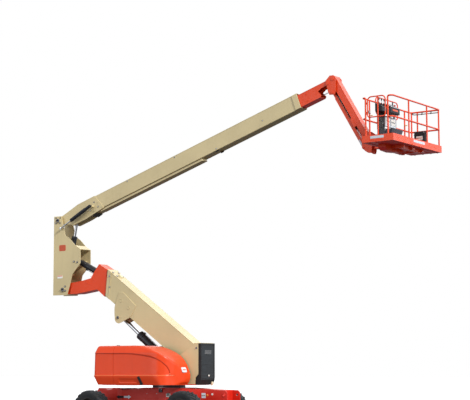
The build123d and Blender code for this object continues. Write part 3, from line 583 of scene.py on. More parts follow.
class Field:
    def __init__(self, poly, x0, x1, y0, y1, step=8.0):
        self.x0, self.y0, self.step = x0, y0, step
        self.g = seg_field(poly, np.arange(x0, x1, step), np.arange(y0, y1, step))

    def __call__(self, x, y):
        u = np.clip((x - self.x0) / self.step, 0, self.g.shape[0] - 1.001)
        v = np.clip((y - self.y0) / self.step, 0, self.g.shape[1] - 1.001)
        i, j = u.astype(int), v.astype(int)
        a, b = u - i, v - j
        g = self.g
        return (g[i, j] * (1 - a) + g[i + 1, j] * a) * (1 - b) + (g[i, j + 1] * (1 - a) + g[i + 1, j + 1] * a) * b


def smax(a, b, k):
    h = np.maximum(k - np.abs(a - b), 0) / k
    return np.maximum(a, b) + h * h * k * 0.25


def step01(a, b, v):
    t = np.clip((v - a) / (b - a), 0, 1)
    return t * t * (3 - 2 * t)


SIDE = Field(fillet_poly([(-1528, 1100), (-1530, 1180), (-1622, 1406), (-1600, 1985), (-1532, 2210), (-330, 2208), (-75, 2186), (125, 2142),
                          (290, 2090), (487, 2011), (651, 1918), (749, 1827), (846, 1698), (911, 1556), (962, 1426), (955, 1336),
                          (914, 1246), (850, 1182), (850, 1100)],
                         [0, 20, 40, 60, 70, 500, 300, 300, 300, 300, 300, 200, 200, 200, 60, 60, 60, 20, 0], 8), -1800, 1200, 1000, 2400)
END = Field(fillet_poly([(-1400, 2208), (-1400, 1100), (1112, 1100), (1122, 1172), (1190, 1406), (1190, 1990), (1095, 2208)],
                        [0, 0, 0, 20, 26, 50, 90], 8), -1300, 1500, 1000, 2400)
PLAN = Field(fillet_poly([(-1632, -500), (-1630, 1192), (330, 1192), (530, 1156), (684, 1046), (808, 872), (902, 655), (968, 345), (980, -500)],
                         [0, 50, 900, 500, 360, 360, 300, 500, 0], 8), -1800, 1200, -600, 1400)
PANEL = Field(fillet_poly([(-1700, 1416), (716, 1417), (752, 1460), (736, 1556), (700, 1655), (576, 1790), (453, 1855), (290, 1904), (-39, 1953),
                           (-407, 1987), (-1516, 1996), (-1700, 1996)], [0, 20, 40, 60, 120, 160, 200, 300, 300, 300, 100, 0], 4), -1750, 1000, 1300, 2100, 4.0)
POCKET = Field(fillet_poly([(-767, 1235), (-172, 1235), (-172, 1326), (-767, 1326)], 26, 4), -900, 0, 1150, 1420, 4.0)


def bodywork(p):
    """Field of the whole tail and hood shape at points (x, |y|, z) in swing millimetres."""
    x, y, z = p[:, 0], p[:, 1], p[:, 2]
    d = smax(smax(END(y, z), SIDE(x, z), 60.0), PLAN(x, y), 28.0)
    facing = np.maximum(step01(820, 940, y), step01(-1380, -1460, x))
    rec = 11 * step01(11, -11, PANEL(x, z)) + 9 * step01(8, -8, POCKET(x, z))
    return d + rec * facing


def shoot(s, dirs, field=bodywork, far=2600.0):
    """First surface along each ray from s, found by halving."""
    dirs = dirs / np.linalg.norm(dirs, axis=1, keepdims=True)
    lo, hi = np.zeros(len(dirs)), np.full(len(dirs), far)
    for _ in range(22):
        mid = (lo + hi) / 2
        inside = field(s + dirs * mid[:, None]) < 0
        lo, hi = np.where(inside, mid, lo), np.where(inside, hi, mid)
    return s + dirs * ((lo + hi) / 2)[:, None]


def along(path, step):
    """Points at even steps on a polyline."""
    path = np.asarray(path, float)
    out = []
    for a, b in zip(path, path[1:]):
        n = max(1, int(round(np.linalg.norm(b - a) / step)))
        out += [a + (b - a) * i / n for i in range(n)]
    return np.array(out + [path[-1]])


def grid_faces(nu, nv, flip=False):
    f = []
    for i in range(nu - 1):
        for j in range(nv - 1):
            q = (i * nv + j, (i + 1) * nv + j, (i + 1) * nv + j + 1, i * nv + j + 1)
            f.append(q[::-1] if flip else q)
    return f


def to_frame(p, s):
    q = np.array(p, float).reshape(-1, 3)
    return np.stack(((q[:, 0] + SWING) / 1000, s * q[:, 1] / 1000, q[:, 2] / 1000), 1)


def patch(bag, g, s, mat, flip):
    nu, nv = g.shape[:2]
    bag.add(to_frame(g, s), grid_faces(nu, nv, flip ^ (s > 0)), mat)


def grid_normals(g):
    du, dv = np.gradient(g, axis=0), np.gradient(g, axis=1)
    n = np.cross(du, dv)
    l = np.linalg.norm(n, axis=2, keepdims=True)
    return n / np.maximum(l, 1e-9)


# ------------------------------------------------------------ hoods and tail
FINE = 12.0


def hood_shell(s, side_name):
    """One moulded hood: outer skin, turned-in edge and a coarser inner skin."""
    xs_pivot = 150.0
    q = along([(1190, 1173), (1190, 1985), (1010, 2202), (346, 2202)], FINE)
    h, v = q[:, 0] - 346, q[:, 1] - 1172
    straight = np.linspace(-945, xs_pivot, int((xs_pivot + 945) / FINE) + 1)
    cols = []
    for x in straight:
        src = np.array((x, 346.0, 1172.0))
        cols.append(shoot(src, np.stack((0 * h, h, v), 1)))
    for psi in np.linspace(0, math.pi / 2, int(1350 / FINE) + 1)[1:]:
        src = np.array((xs_pivot, 346.0, 1172.0))
        cols.append(shoot(src, np.stack((math.sin(psi) * h, math.cos(psi) * h, v), 1)))
    g = np.array(cols)
    nu, nv = g.shape[:2]
    ns = len(straight)
    # the fan's top row is one point: close it on the pivot
    g[ns:, -1] = g[ns - 1, -1]
    nrm = grid_normals(g)
    nrm[ns:, -1] = nrm[ns - 1, -1]
    cen = np.array((0.0, 700.0, 1600.0))
    if ((nrm * (g - cen)).sum(2) < 0).mean() > 0.5:
        nrm = -nrm
    bag = Bag()
    patch(bag, g, s, "hood", False)
    inner = g - nrm * 14.0
    st_ = 4 if FINE < 20 else 2
    iu = sorted(set(list(range(0, nu, st_)) + [nu - 1, ns - 1]))
    iv = sorted(set(list(range(0, nv, st_)) + [nv - 1]))
    # the inner skin is shadow_black: painted shade inside the hood
    patch(bag, inner[np.ix_(iu, iv)], s, "dark", True)
    rims = [(g[0, :], inner[0, :]), (g[:, 0], inner[:, 0]), (g[-1, :], inner[-1, :]), (g[:ns, -1], inner[:ns, -1])]
    for k, (a, b) in enumerate(rims):
        patch(bag, np.stack((a, b), 1), s, "hood", k in (1, 2))
    # pressed crease lines round the side panel and the seam to the tail, laid as thin tubes: the upper line dark orange
    # as painted shade, the lower line light orange as a painted highlight
    for pts_, r_, mat_ in (([(-940, 1992), (-407, 1987), (-39, 1953), (290, 1904), (453, 1855), (575, 1790), (648, 1725), (700, 1655), (735, 1556), (748, 1470)], 0.007, "crease_shade"),
                           ([(748, 1470), (738, 1430), (700, 1417), (-940, 1416)], 0.008, "crease_highlight")):
        q_ = smooth_path([np.array((x, 0.0, z)) / 1000 for x, z in pts_], 0.04) * 1000
        line = [shoot(np.array((x[0], 300.0, x[2])), np.array([[0.0, 1.0, 0.0]]))[0] for x in q_]
        tube(bag, to_frame(np.array(line), s), r_, mat_, 8)
    # hinge knuckles on straps under the top
    for hx in (-820, -440):
        lathe(bag, P(hx, s * 372, 2150), EX, [(0.0095, 0), (0.0155, 0), (0.016, 0.001), (0.016, 0.059), (0.0155, 0.06), (0.0095, 0.06)], "steel", 20)
        block(bag, (hx, hx + 60), (s * 372 - 5, s * 372 + 5), (2163, 2189), "steel", 0.001)
        for dx in (12, 48):
            bolt(bag, P(hx + dx, s * 372, 2187), -EZ, 0.006)
    n_out = unit((0, s * 1.0, -0.3))
    # rubber hold-down strap
    a = shoot(np.array((-100.0, 500.0, 1392.0)), np.array([[0.0, 1.0, 0.0]]))[0]
    b = shoot(np.array((-16.0, 500.0, 1184.0)), np.array([[0.0, 1.0, 0.0]]))[0]
    A, B = to_frame(a, s)[0], to_frame(b, s)[0]
    along_, out = unit(B - A), n_out
    wid = unit(np.cross(out, along_))
    ln = np.linalg.norm(B - A)
    mid = (A + B) / 2 + out * 0.004
    ex_, ey_ = along_, unit(np.cross(out, along_))
    plate(bag, mid, ex_, ey_, ln, 0.085, 0.014, "strap", 0.02, 0.004)
    for t, w in ((0.1, 0.075), (0.9, 0.09)):
        plate(bag, A + (B - A) * t + out * 0.012, ex_, ey_, 0.045, w, 0.012, "strap", 0.008, 0.003)
    disc(bag, A + (B - A) * 0.12 + out * 0.022, out, 0.009, 0.005, "iron", 14)
    # blank nose plate
    if s < 0:
        nose = shoot(np.array((xs_pivot, 346.0, 1560.0)), np.array([[0.965, 0.262, 0.0]]))[0]
        near = shoot(np.array((xs_pivot, 346.0, 1560.0)), np.array([[0.97, 0.243, 0.0], [0.965, 0.262, 0.02]]))
        o = to_frame(nose, s)[0]
        e1, e2 = to_frame(near[0], s)[0] - o, to_frame(near[1], s)[0] - o
        n = unit(np.cross(e1, e2))
        n = n if n[0] > 0 else -n
        u = unit(np.cross(EZ, n))
        plate(bag, o - n * 0.004, u, unit(np.cross(n, u)), 0.19, 0.14, 0.006, "doc", 0.03)
        plate(bag, o + n * 0.004, u, unit(np.cross(n, u)), 0.13, 0.026, 0.003, "redlabel", 0.006)
    return bag.make(side_name + "_shell", "hood_door_" + side_name.split("_")[1], 40, (side_name,))


hood_shell(-1, "hood_right")
hood_shell(1, "hood_left")


def tail():
    """Cast tail weight, flush with the hoods and with the same creases."""
    bag = Bag()
    y0, x0, zb = 331.0, -956.0, 1172.0
    q = along([(1190, 1173), (1190, 1985), (1010, 2202), (y0, 2202)], FINE)
    for s in (-1, 1):
        src = np.array((x0, y0, zb))
        cols = []
        for psi in np.linspace(0, math.pi / 2, int(1150 / FINE) + 1):
            # reach less far to the rear than to the side
            h = (q[:, 0] - y0)
            cols.append(shoot(src, np.stack((-math.sin(psi) * h * 0.74, math.cos(psi) * h, q[:, 1] - zb), 1)))
        g = np.array(cols)
        g[:, -1] = g[0, -1]
        patch(bag, g, s, "hood", True)
        for row, flip in ((g[0, :], False), (g[-1, :], True), (g[:, 0], True)):
            pts_ = np.concatenate((row, [src]))
            k = len(row)
            f = [(i, i + 1, k) if (flip ^ (s > 0)) else (i + 1, i, k) for i in range(k - 1)]
            bag.add(to_frame(pts_, s), f, "hood")
    for ya, yb, zt in ((-331, -150, 1560), (-150, 150, 1214), (150, 331, 1560)):
        n = max(3, int((yb - ya) / (FINE * 2)))
        cols = []
        for y in np.linspace(ya, yb, n + 1):
            zs = np.linspace(1150, zt, max(4, int((zt - 1150) / FINE)))
            pts_ = shoot_rear(y, zs)
            cols.append(np.concatenate((pts_, [[x0, y, zt], [x0, y, 1150], pts_[0]])))
        g = np.array(cols)
        patch(bag, g, 1, "hood", False)
        for i, flip in ((0, True), (-1, False)):
            ring = g[i][:-1]
            idx = tuple(range(len(ring)))
            bag.add(to_frame(ring, 1), [idx[::-1] if flip else idx], "hood")
    # the creases run on round the tail as dark tubes of painted shade, and so do the two faint lower lines of painted
    # highlight
    for s in (-1, 1):
        for za, zb_, r_, mat_ in ((1992, 1994, 0.007, "crease_shade"), (1416, 1416, 0.008, "crease_highlight")):
            line = [shoot(np.array((x, 300.0, za + (zb_ - za) * (-960 - x) / 640)), np.array([[0.0, 1.0, 0.0]]))[0] for x in np.linspace(-962, -1592, 30)]
            tube(bag, to_frame(np.array(line), s), r_, mat_, 8)
            line = [shoot(np.array((-900.0, y, zb_)), np.array([[-1.0, 0.0, 0.0]]))[0] for y in np.linspace(1150, 346, 24)]
            tube(bag, to_frame(np.array(line), s), r_, mat_, 8)
    # rear bolts on round bosses and two plugged casting holes
    for s in (-1, 1):
        for y in (520, 900):
            pt = shoot(np.array((-1200.0, y, 1700.0)), np.array([[-1.0, 0, 0]]))[0]
            if y == 520:
                disc(bag, to_frame(pt, s)[0] + EX * 0.012, -EX, 0.032, 0.012, "hood", 24, 0.004)
                bolt(bag, to_frame(pt, s)[0], -EX, 0.017)
        lathe(bag, P(-1230, s * 620, 2199), EZ, [(0.045, 0), (0.045, 0.012), (0.04, 0.016), (0.018, 0.016), (0.016, 0.006), (0, 0.006)], "iron", 24)
    return bag.make("tail_casting", "turntable", 40, ("counterweight",))


def shoot_rear(y, zs):
    src = np.stack((np.full(len(zs), -956.0), np.full(len(zs), abs(y)), zs), 1)
    lo, hi = np.zeros(len(zs)), np.full(len(zs), 900.0)
    for _ in range(22):
        mid = (lo + hi) / 2
        p = src - np.stack((mid, 0 * mid, 0 * mid), 1)
        ins = bodywork(p) < 0
        lo, hi = np.where(ins, mid, lo), np.where(ins, hi, mid)
    out = src.copy()
    out[:, 0] -= (lo + hi) / 2
    out[:, 1] = y
    return out


tail()


# --------------------------------------------------------------------- tyres
def tyre(name, wx, s, body):
    bag = Bag()
    c = P(wx, 0, 515)
    c[1] = s * 1.0
    pr = [(0.326, -0.150), (0.322, -0.168), (0.336, -0.177), (0.352, -0.174), (0.362, -0.180), (0.392, -0.190), (0.43, -0.1955), (0.455, -0.194), (0.474, -0.186),
          (0.485, -0.168), (0.490, -0.120), (0.4915, -0.06), (0.492, 0)]
    pr = pr + [(r, -h) for r, h in pr[-2::-1]]
    lathe(bag, c, EY, [(r, h) for r, h in pr], "tyre", 72)
    # sidewall rings
    for side_ in (-1, 1):
        for r, w in ((0.372, 0.004), (0.448, 0.005)):
            lathe(bag, c, EY * side_, [(r - w, 0.17), (r - w * 0.6, 0.1985 if r > 0.4 else 0.188), (r + w * 0.6, 0.1985 if r > 0.4 else 0.1885), (r + w, 0.17)], "tyre", 72)
    # lugs: long slanted bars from near the middle over each shoulder
    n = 22
    st_y = [0.006, 0.03, 0.075, 0.12, 0.155, 0.178, 0.190, 0.193]
    top = [0.5145, 0.5148, 0.5146, 0.5135, 0.5105, 0.502, 0.484, 0.462]
    bot = [0.486, 0.486, 0.486, 0.484, 0.478, 0.470, 0.456, 0.446]
    half = [0.016, 0.019, 0.021, 0.023, 0.025, 0.026, 0.024, 0.018]
    for side_ in (-1, 1):
        for i in range(n):
            a0 = 2 * math.pi * (i + (0.5 if side_ > 0 else 0)) / n
            verts, faces = [], []
            for y, rt, rb, hw in zip(st_y, top, bot, half):
                a = a0 + 0.9 * y / 0.5 - 0.6 * max(0, y - 0.12)
                for dx, r in ((-hw - 0.006, rb), (-hw, rt - 0.004), (-hw + 0.004, rt), (hw - 0.004, rt), (hw, rt - 0.004), (hw + 0.006, rb)):
                    ang = a + dx / 0.5
                    verts.append(c + np.array((r * math.cos(ang), side_ * y, r * math.sin(ang))))
            m_, k = 6, len(st_y)
            for p in range(k - 1):
                for q in range(m_ - 1):
                    f = (p * m_ + q, p * m_ + q + 1, (p + 1) * m_ + q + 1, (p + 1) * m_ + q)
                    faces.append(f if side_ < 0 else f[::-1])
            e0, e1 = tuple(range(m_)), tuple((k - 1) * m_ + q for q in range(m_))
            faces += [e0[::-1] if side_ < 0 else e0, e1 if side_ < 0 else e1[::-1]]
            bag.add(verts, faces, "tyre")
    bag.make("lugged_" + name, body, 38, (name,))
    # rim furniture: hub, nuts, valve
    hub = Bag()
    o = c + EY * s * 0.134
    lathe(hub, o - EY * s * 0.01, EY * s, [(0, 0), (0.115, 0), (0.115, 0.012), (0.105, 0.02), (0.098, 0.04), (0.085, 0.048), (0.03, 0.05), (0.028, 0.046), (0, 0.046)], "rim", 36)
    for i in range(9):
        a = 2 * math.pi * i / 9
        bolt(hub, o + EY * s * -0.012 + 0.139 * np.array((math.cos(a), 0, math.sin(a))), EY * s, 0.014)
    for i in range(6):
        a = 2 * math.pi * (i + 0.5) / 6
        bolt(hub, o + EY * s * 0.036 + 0.062 * np.array((math.cos(a), 0, math.sin(a))), EY * s, 0.006, washer=False)
    lathe(hub, o + EY * s * 0.02 + EX * 0.0, EY * s, [(0, 0.02), (0.012, 0.02), (0.012, 0.03), (0, 0.03)], "steel", 6)
    lathe(hub, c + EY * s * 0.10 + EX * 0.262, unit(EY * s - EX * 0.2), [(0, -0.03), (0.006, -0.03), (0.006, 0.02), (0.0045, 0.022), (0.0045, 0.032), (0, 0.032)], "brass", 12)
    hub.make("hub_" + name[5:], body, 38)


for nm, wx, s in (("front_right", 1240, -1), ("front_left", 1240, 1), ("rear_right", -1810, -1), ("rear_left", -1810, 1)):
    tyre("tyre_" + nm, wx, s, "wheel_" + nm)


# ------------------------------------------------------------- boom details
def pin_cap(bag, x, z, y, s, r, mat="bare"):
    """Pivot pin's end with its keeper plate and two bolts, standing out from side plane y."""
    o = P(x, s * y, z)
    lathe(bag, o, EY * s, [(0, 0.012), (r - 0.006, 0.012), (r, 0.008), (r, -0.01)], mat, 32)
    plate(bag, o + EX * 0.0 + EZ * (r * 0.2) + EY * s * 0.012, EX * s, EZ, r * 2.3, r * 0.62, 0.007, "black_paint", 0.008)
    for k in (-1, 1):
        bolt(bag, o + EX * k * r * 0.86 + EZ * r * 0.2 + EY * s * 0.018, EY * s, 0.011)


def outline_weld(bag, pts_, y, mat, r=0.005):
    q = [P(x, y, z) for x, z in pts_]
    for a, b in zip(q, q[1:]):
        weld(bag, a, b, r, mat)


LUG = [(-1718, 3246), (-1720, 3097), (-1702, 2900), (-1655, 2838), (-1577, 2812), (-1500, 2832), (-1213, 2950), (-1144, 3010), (-974, 3267),
       (-1427, 3650), (-1567, 3655), (-1700, 3320), (-1718, 3246)]
bag = Bag()
for s in (-1, 1):
    outline_weld(bag, LUG[6:] if s else LUG, s * 192, "beige", 0.008)
    for x, z in ((-1495, 3430), (-1233, 3220)):
        lathe(bag, P(x, s * 201, z), EY * s, [(0.052, 0), (0.052, 0.005), (0.047, 0.009), (0.040, 0.009), (0.037, 0.004), (0, 0.004)], "beige", 36)
    pin_cap(bag, -1590, 2972, 212, s, 0.040)
    # bolts through the outer collar and its stiffening strip
    for x, z in ((-1906, 4110), (-1903, 3810)):
        lathe(bag, P(x, s * 195, z), EY * s, [(0.026, 0), (0.026, 0.006), (0.018, 0.01), (0, 0.01)], "steel", 24)
        bolt(bag, P(x, s * 205, z), EY * s, 0.012)
    o = tower(0, 0, min(s * 197, s * 205))
    slab(bag, o, TOW_S, TOW_D, [(3.215, 0.0), (3.245, 0.0), (3.59, 0.628), (3.56, 0.628)], 0.008, "beige", 0.002)
    # pivot at the root
    pin_cap(bag, 700, 1632, 191, s, 0.055)
    # long seam welds top and bottom of the side plates
    for d in (0.006, 0.625):
        weld(bag, tower(300 if d < .1 else 160, d * 1000, s * 189), tower(3180 if d < .1 else 3540, d * 1000, s * 189), 0.006, "beige")
# wear pad adjusters and lifting lugs on the top face; the lug is in the lighter top-face beige, a painted highlight
for sx_ in (3380, 3560):
    for y in (-120, 120):
        lathe(bag, tower(sx_, 637, y), TOW_D, [(0.032, 0), (0.032, 0.012), (0.022, 0.016), (0, 0.016)], "steel", 6)
slab(bag, tower(3300, 632, -40), TOW_S, TOW_D, [(0, 0), (0.14, 0), (0.14, 0.045), (0.10, 0.06), (0.02, 0.05)], 0.08, "beige_top_highlight", 0.004, 0.01)
bag.make("tower_fittings", "tower", 34)

# fold lines of the gooseneck
bag = Bag()
for s in (-1, 1):
    y = s * 173
    # pressed fold lines of the gooseneck's side plates
    for a, b in (((-3330, 3815), (-3240, 3925)), ((-2600, 4130), (-2420, 3980)), ((-2760, 3960), (-2560, 3890))):
        weld(bag, P(a[0], y, a[1]), P(b[0], y, b[1]), 0.007, "orange")
bag.make("tower_fly_fittings", "tower_fly", 34)

# upright: pins, bolts, blank labels, top cap and clamped lines
bag = Bag()
for s in (-1, 1):
    pin_cap(bag, -3774, 5740, 241, s, 0.058)
    pin_cap(bag, -3564, 3790, 241, s, 0.058)
    for x, z in ((-3783 - 78, 5748 + 70), (-3783 + 78, 5748 + 70), (-3783 - 78, 5748 - 78), (-3783 + 78, 5748 - 78)):
        lathe(bag, P(x, s * 225, z), EY * s, [(0.024, 0), (0.024, 0.005), (0.015, 0.005)], "black_paint", 20)
        bolt(bag, P(x, s * 229, z), EY * s, 0.014)
    for x, z in ((-3171, 4560), (-3053, 4538), (-3493, 3880), (-3480, 3760)):
        lathe(bag, P(x, s * 225, z), EY * s, [(0.03, 0), (0.03, 0.006), (0.02, 0.006)], "black_paint", 20)
        bolt(bag, P(x, s * 230, z), EY * s, 0.016)
    # plug welds and edge weld down the rear corner
    for z in (4300, 4560, 4820, 5080, 5300):
        lathe(bag, P(-3840, s * 225, z), EY * s, [(0.016, -0.002), (0.016, 0.0015), (0.010, 0.003), (0, 0.003)], "beige", 16)
    weld(bag, P(-3924, s * 224, 4000), P(-3924, s * 224, 5300), 0.006, "beige")
plate(bag, P(-3603, -225, 4961), EX, EZ, 0.24, 0.17, 0.003, "redlabel", 0.03)
plate(bag, P(-3683, -225, 4150), EX, EZ, 0.19, 0.085, 0.003, "white", 0.006)
plate(bag, P(-3683, -227.5, 4176), EX, EZ, 0.175, 0.022, 0.002, "redlabel", 0.003)
plate(bag, P(-3603, 225, 4961), -EX, EZ, 0.24, 0.17, 0.003, "redlabel", 0.03)
# cap over the top and front edge strips, in lighter beige as a painted highlight
block(bag, (-3930, -3660), (-224, -212), (5852, 5864), "beige_top_highlight", 0.003)
block(bag, (-3930, -3660), (212, 224), (5852, 5864), "beige_top_highlight", 0.003)
# clamped hydraulic lines down the inside of the rear web
for k, y in enumerate((-150, -120, -90, -60, 60, 90)):
    path = [P(-3896 + (k % 2) * 8, y, z) for z in (4020, 4400, 4900, 5280)]
    tube(bag, smooth_path(path, 0.2), 0.010, "hose", 8)
for z in (4100, 4500, 4900, 5220):
    block(bag, (-3915, -3880), (-168, -42), (z - 14, z + 14), "black_paint", 0.003)
    block(bag, (-3915, -3880), (42, 108), (z - 14, z + 14), "black_paint", 0.003)
bag.make("upright_fittings", "upright", 34)

# main boom: welds, pads, outer collar, bracket bolts
bag = Bag()
for s in (-1, 1):
    for d in (-205, 180):
        weld(bag, main(1650, d, s * 144), main(8290, d, s * 144), 0.006, "beige")
    q = [(1610, -232), (1390, 205)]
    weld(bag, main(1610, -226, s * 146), main(1390, 198, s * 146), 0.008, "beige")
    o = main(0, 0, min(s * 145, s * 154))
    slab(bag, o, MAIN_S, MAIN_D, [(8.23, -0.212), (8.39, -0.212), (8.377, 0.187), (8.222, 0.187)], 0.009, "beige", 0.003)
    for sv in (8.27, 8.34):
        for dv in (-0.15, 0.0, 0.12):
            lathe(bag, main(sv * 1000, dv * 1000, s * 153), EY * s, [(0.012, 0), (0.012, 0.004), (0.008, 0.006), (0, 0.006)], "beige", 16)
    for sv, dv in ((7210, -50), (5640, -170), (2600, 150), (4300, 150)):
        lathe(bag, main(sv, dv, s * 145), EY * s, [(0.020, 0), (0.020, 0.004), (0.012, 0.008), (0, 0.008)], "steel", 20)
for sv, dv in ((1394, 5), (1266, -52), (1200, -170), (1490, -170)):
    lathe(bag, main(sv, dv, -240), -EY, [(0.024, 0), (0.024, 0.006), (0.014, 0.006)], "black_paint", 20)
    bolt(bag, main(sv, dv, -245), -EY, 0.014)
slab(bag, main(0, 0, 130), MAIN_S, -MAIN_D, [(1.14, 0.294), (1.30, 0.274), (1.30, 0.290), (1.14, 0.310)], -0.26, "strap", 0.003)
for sv in (8260, 8350):
    for y in (-90, 90):
        lathe(bag, main(sv, 190, y), MAIN_D, [(0.030, 0), (0.030, 0.012), (0.02, 0.016), (0, 0.016)], "steel", 6)
# two short shadow_black strips on the underside: painted shadow
slab(bag, main(5590, -216, 113), MAIN_S, MAIN_D, [(0, 0), (0.1, 0), (0.1, -0.035), (0, -0.035)], 0.012, "dark", 0.002)
slab(bag, main(5590, -216, -125), MAIN_S, MAIN_D, [(0, 0), (0.1, 0), (0.1, -0.035), (0, -0.035)], 0.012, "dark", 0.002)
bag.make("main_boom_fittings", "main_boom", 34)

bag = Bag()
for s in (-1, 1):
    for sv, dv in ((8620, 60), (8620, -110)):
        lathe(bag, main(sv, dv, s * 125), EY * s, [(0.017, 0), (0.017, 0.004), (0.011, 0.008), (0, 0.008)], "orange", 18)
    weld(bag, main(8420, 134, s * 124), main(9100, 134, s * 124), 0.005, "orange")
bag.make("main_fly_fittings", "main_fly", 34)

# jib: skirt plates, a weld, and a shadow_black strip as painted shade in the slot
bag = Bag()
for s in (-1, 1):
    o = jib(0, 0, min(s * 105, s * 109))
    slab(bag, o, JIB_S, JIB_D, [(1.13, -0.070), (1.40, -0.070), (1.40, -0.146), (1.20, -0.146), (1.13, -0.10)], 0.004, "orange", 0.001)
    slab(bag, o, JIB_S, JIB_D, [(0.05, -0.070), (1.13, -0.070), (1.13, -0.091), (0.05, -0.091)], 0.004, "orange", 0.001)
    weld(bag, jib(60, 68, s * 104), jib(1600, 68, s * 104), 0.005, "orange")
# shadow_black strip along the underside, painted shadow where the slot between arm and link shows
slab(bag, jib(60, -78.5, 100), JIB_S, -EY, [(0, 0), (1.30, 0), (1.30, 0.20), (0, 0.20)], 0.004, "dark", 0.001)
bag.make("jib_fittings", "jib", 34)

bag = Bag()
# shadow_black strip on the link's top: painted shadow for the slot
slab(bag, jib(100, 35, 68, J2), JIB_S, -EY, [(0, 0), (1.05, 0), (1.05, 0.136), (0, 0.136)], 0.003, "dark", 0.001)
for s in (-1, 1):
    o = jib(0, 0, min(s * 70, s * 73), J2)
    slab(bag, o, JIB_S, JIB_D, [(1.44, -0.040), (1.62, -0.040), (1.62, 0.0), (1.44, 0.0)], 0.0065, "doc", 0.001)
    slab(bag, o, JIB_S, JIB_D, [(0.15, -0.046), (1.62, -0.046), (1.62, 0.045), (0.15, 0.045)], 0.004, "orange", 0.001)
bag.make("jib_link_fittings", "jib_link", 34)

# platform support: pins, rotator ring, hose block
bag = Bag()
for s in (-1, 1):
    lathe(bag, P(K1[0], s * 131, K1[1]), EY * s, [(0.042, 0), (0.042, 0.005), (0.034, 0.009), (0, 0.009)], "orange", 28)
    lathe(bag, P(K2[0], s * 131, K2[1]), EY * s, [(0.030, 0), (0.030, 0.005), (0.024, 0.009), (0, 0.009)], "orange", 28)
    weld(bag, P(6300, s * 130, 6990), P(6300, s * 130, 7215), 0.006, "orange")
lathe(bag, P(6375, 0, 6966), EZ, [(0.1045, 0), (0.122, 0), (0.122, 0.03), (0.1045, 0.03)], "iron", 40)
for i in range(10):
    a = math.pi * 2 * i / 10
    bolt(bag, P(6375, 0, 6996) + np.array((0.114 * math.cos(a), 0.114 * math.sin(a), 0)), EZ, 0.006, washer=False)
lathe(bag, P(6375, 0, 7230), EZ, [(0.104, 0), (0.104, 0.008), (0.09, 0.014), (0.04, 0.014), (0.035, 0.006), (0, 0.006)], "black_paint", 36)
bag.make("rotator_fittings", "platform_support", 34)


# ----------------------------------------------------------------- cylinders
def cyl(name, body, base, eye, r, y, ln, pipe=1, collar=0.055, rod=0.03):
    bag = Bag()
    B, R_ = P(base[0], y, base[1]), P(eye[0], y, eye[1])
    d = unit(R_ - B)
    u = unit(np.cross(d, EY)) * pipe
    e = B + d * ln / 1000
    rr = r / 1000
    # gland nut with spanner slots, weld beads and the two port blocks
    lathe(bag, e - d * (collar + 0.004), d, [(rr - 0.002, 0), (rr + 0.010, 0.003), (rr + 0.010, collar - 0.006), (rr + 0.004, collar), (rr - 0.004, collar + 0.004), (rod + 0.004, collar + 0.006), (rod + 0.0035, collar - 0.01)], "black_paint", 40)
    for i in range(6):
        a = 2 * math.pi * i / 6
        w = unit(np.cross(d, u))
        n = math.cos(a) * u + math.sin(a) * w
        t = np.cross(n, d)
        slab(bag, e - d * 0.046 + n * (rr + 0.006) - t * 0.007, d, t, [(0, 0), (0.03, 0), (0.03, 0.014), (0, 0.014)], 0.0055, "iron", 0.001)
    a0 = B + d * (rr + 0.13)
    lathe(bag, a0, d, [(rr - 0.002, -0.01), (rr + 0.005, -0.004), (rr + 0.007, 0), (rr + 0.005, 0.004), (rr - 0.002, 0.01)], "black_paint", 36)
    if name == "master_cylinder":
        lathe(bag, a0 + d * 0.02, d, [(rr - 0.003, 0), (0.054, 0.006), (0.054, 0.50), (rr - 0.003, 0.506)], "black_paint", 40)
        return bag.make(name + "_barrel_fittings", body, 34)
    w = unit(np.cross(d, u))
    for at in (a0 + d * 0.05, e - d * (collar + 0.075)):
        slab(bag, at - w * 0.026 + u * (rr - 0.012), d, w, [(0, 0), (0.052, 0), (0.052, 0.052), (0, 0.052)], 0.042 * (1 if np.cross(d, w) @ u > 0 else -1), "black_paint", 0.004)
    p0, p1 = a0 + d * 0.076 + u * (rr + 0.016), e - d * (collar + 0.049) + u * (rr + 0.016)
    tube(bag, np.array([p0 - d * 0.02, p0 + (p1 - p0) * 0.33, p0 + (p1 - p0) * 0.66, p1]), 0.0085, "chrome", 12)
    for t in (0.5,):
        c_ = p0 + (p1 - p0) * t
        slab(bag, c_ - d * 0.011 - w * 0.017 - u * 0.017, d, w, [(0, 0), (0.022, 0), (0.022, 0.034), (0, 0.034)], 0.03 * (1 if np.cross(d, w) @ u > 0 else -1), "black_paint", 0.002)
    return bag.make(name + "_barrel_fittings", body, 34)


cyl("tower_cylinder", "tower_cylinder_barrel", (500, 1340), (-1590, 2972), 110, 0, 1885, -1, rod=0.05)
cyl("upright_cylinder", "upright_cylinder_barrel", (-3108, 4550), (-1566, 3798), 84, 0, 1150, -1, rod=0.042)
cyl("main_cylinder", "main_cylinder_barrel", (-3560, 4230), (-3222, 5905), 68, 0, 1080, 1, rod=0.036)
cyl("master_cylinder", "master_cylinder_barrel", (-2560, 6070), (-3620, 5508), 44, -290, 770, -1, 0.04, 0.02)


# ------------------------------------------------------------------ platform
def label(bag, o, u, v, w, h, mat, frame_mat=None):
    plate(bag, o, u, v, w, h, 0.003, mat, 0.006)
    if frame_mat:
        plate(bag, o + unit(np.cross(u, v)) * 0.003, u, v, w * 0.86, h * 0.2, 0.0012, frame_mat, 0.002)


XR = RX0
bag = Bag()
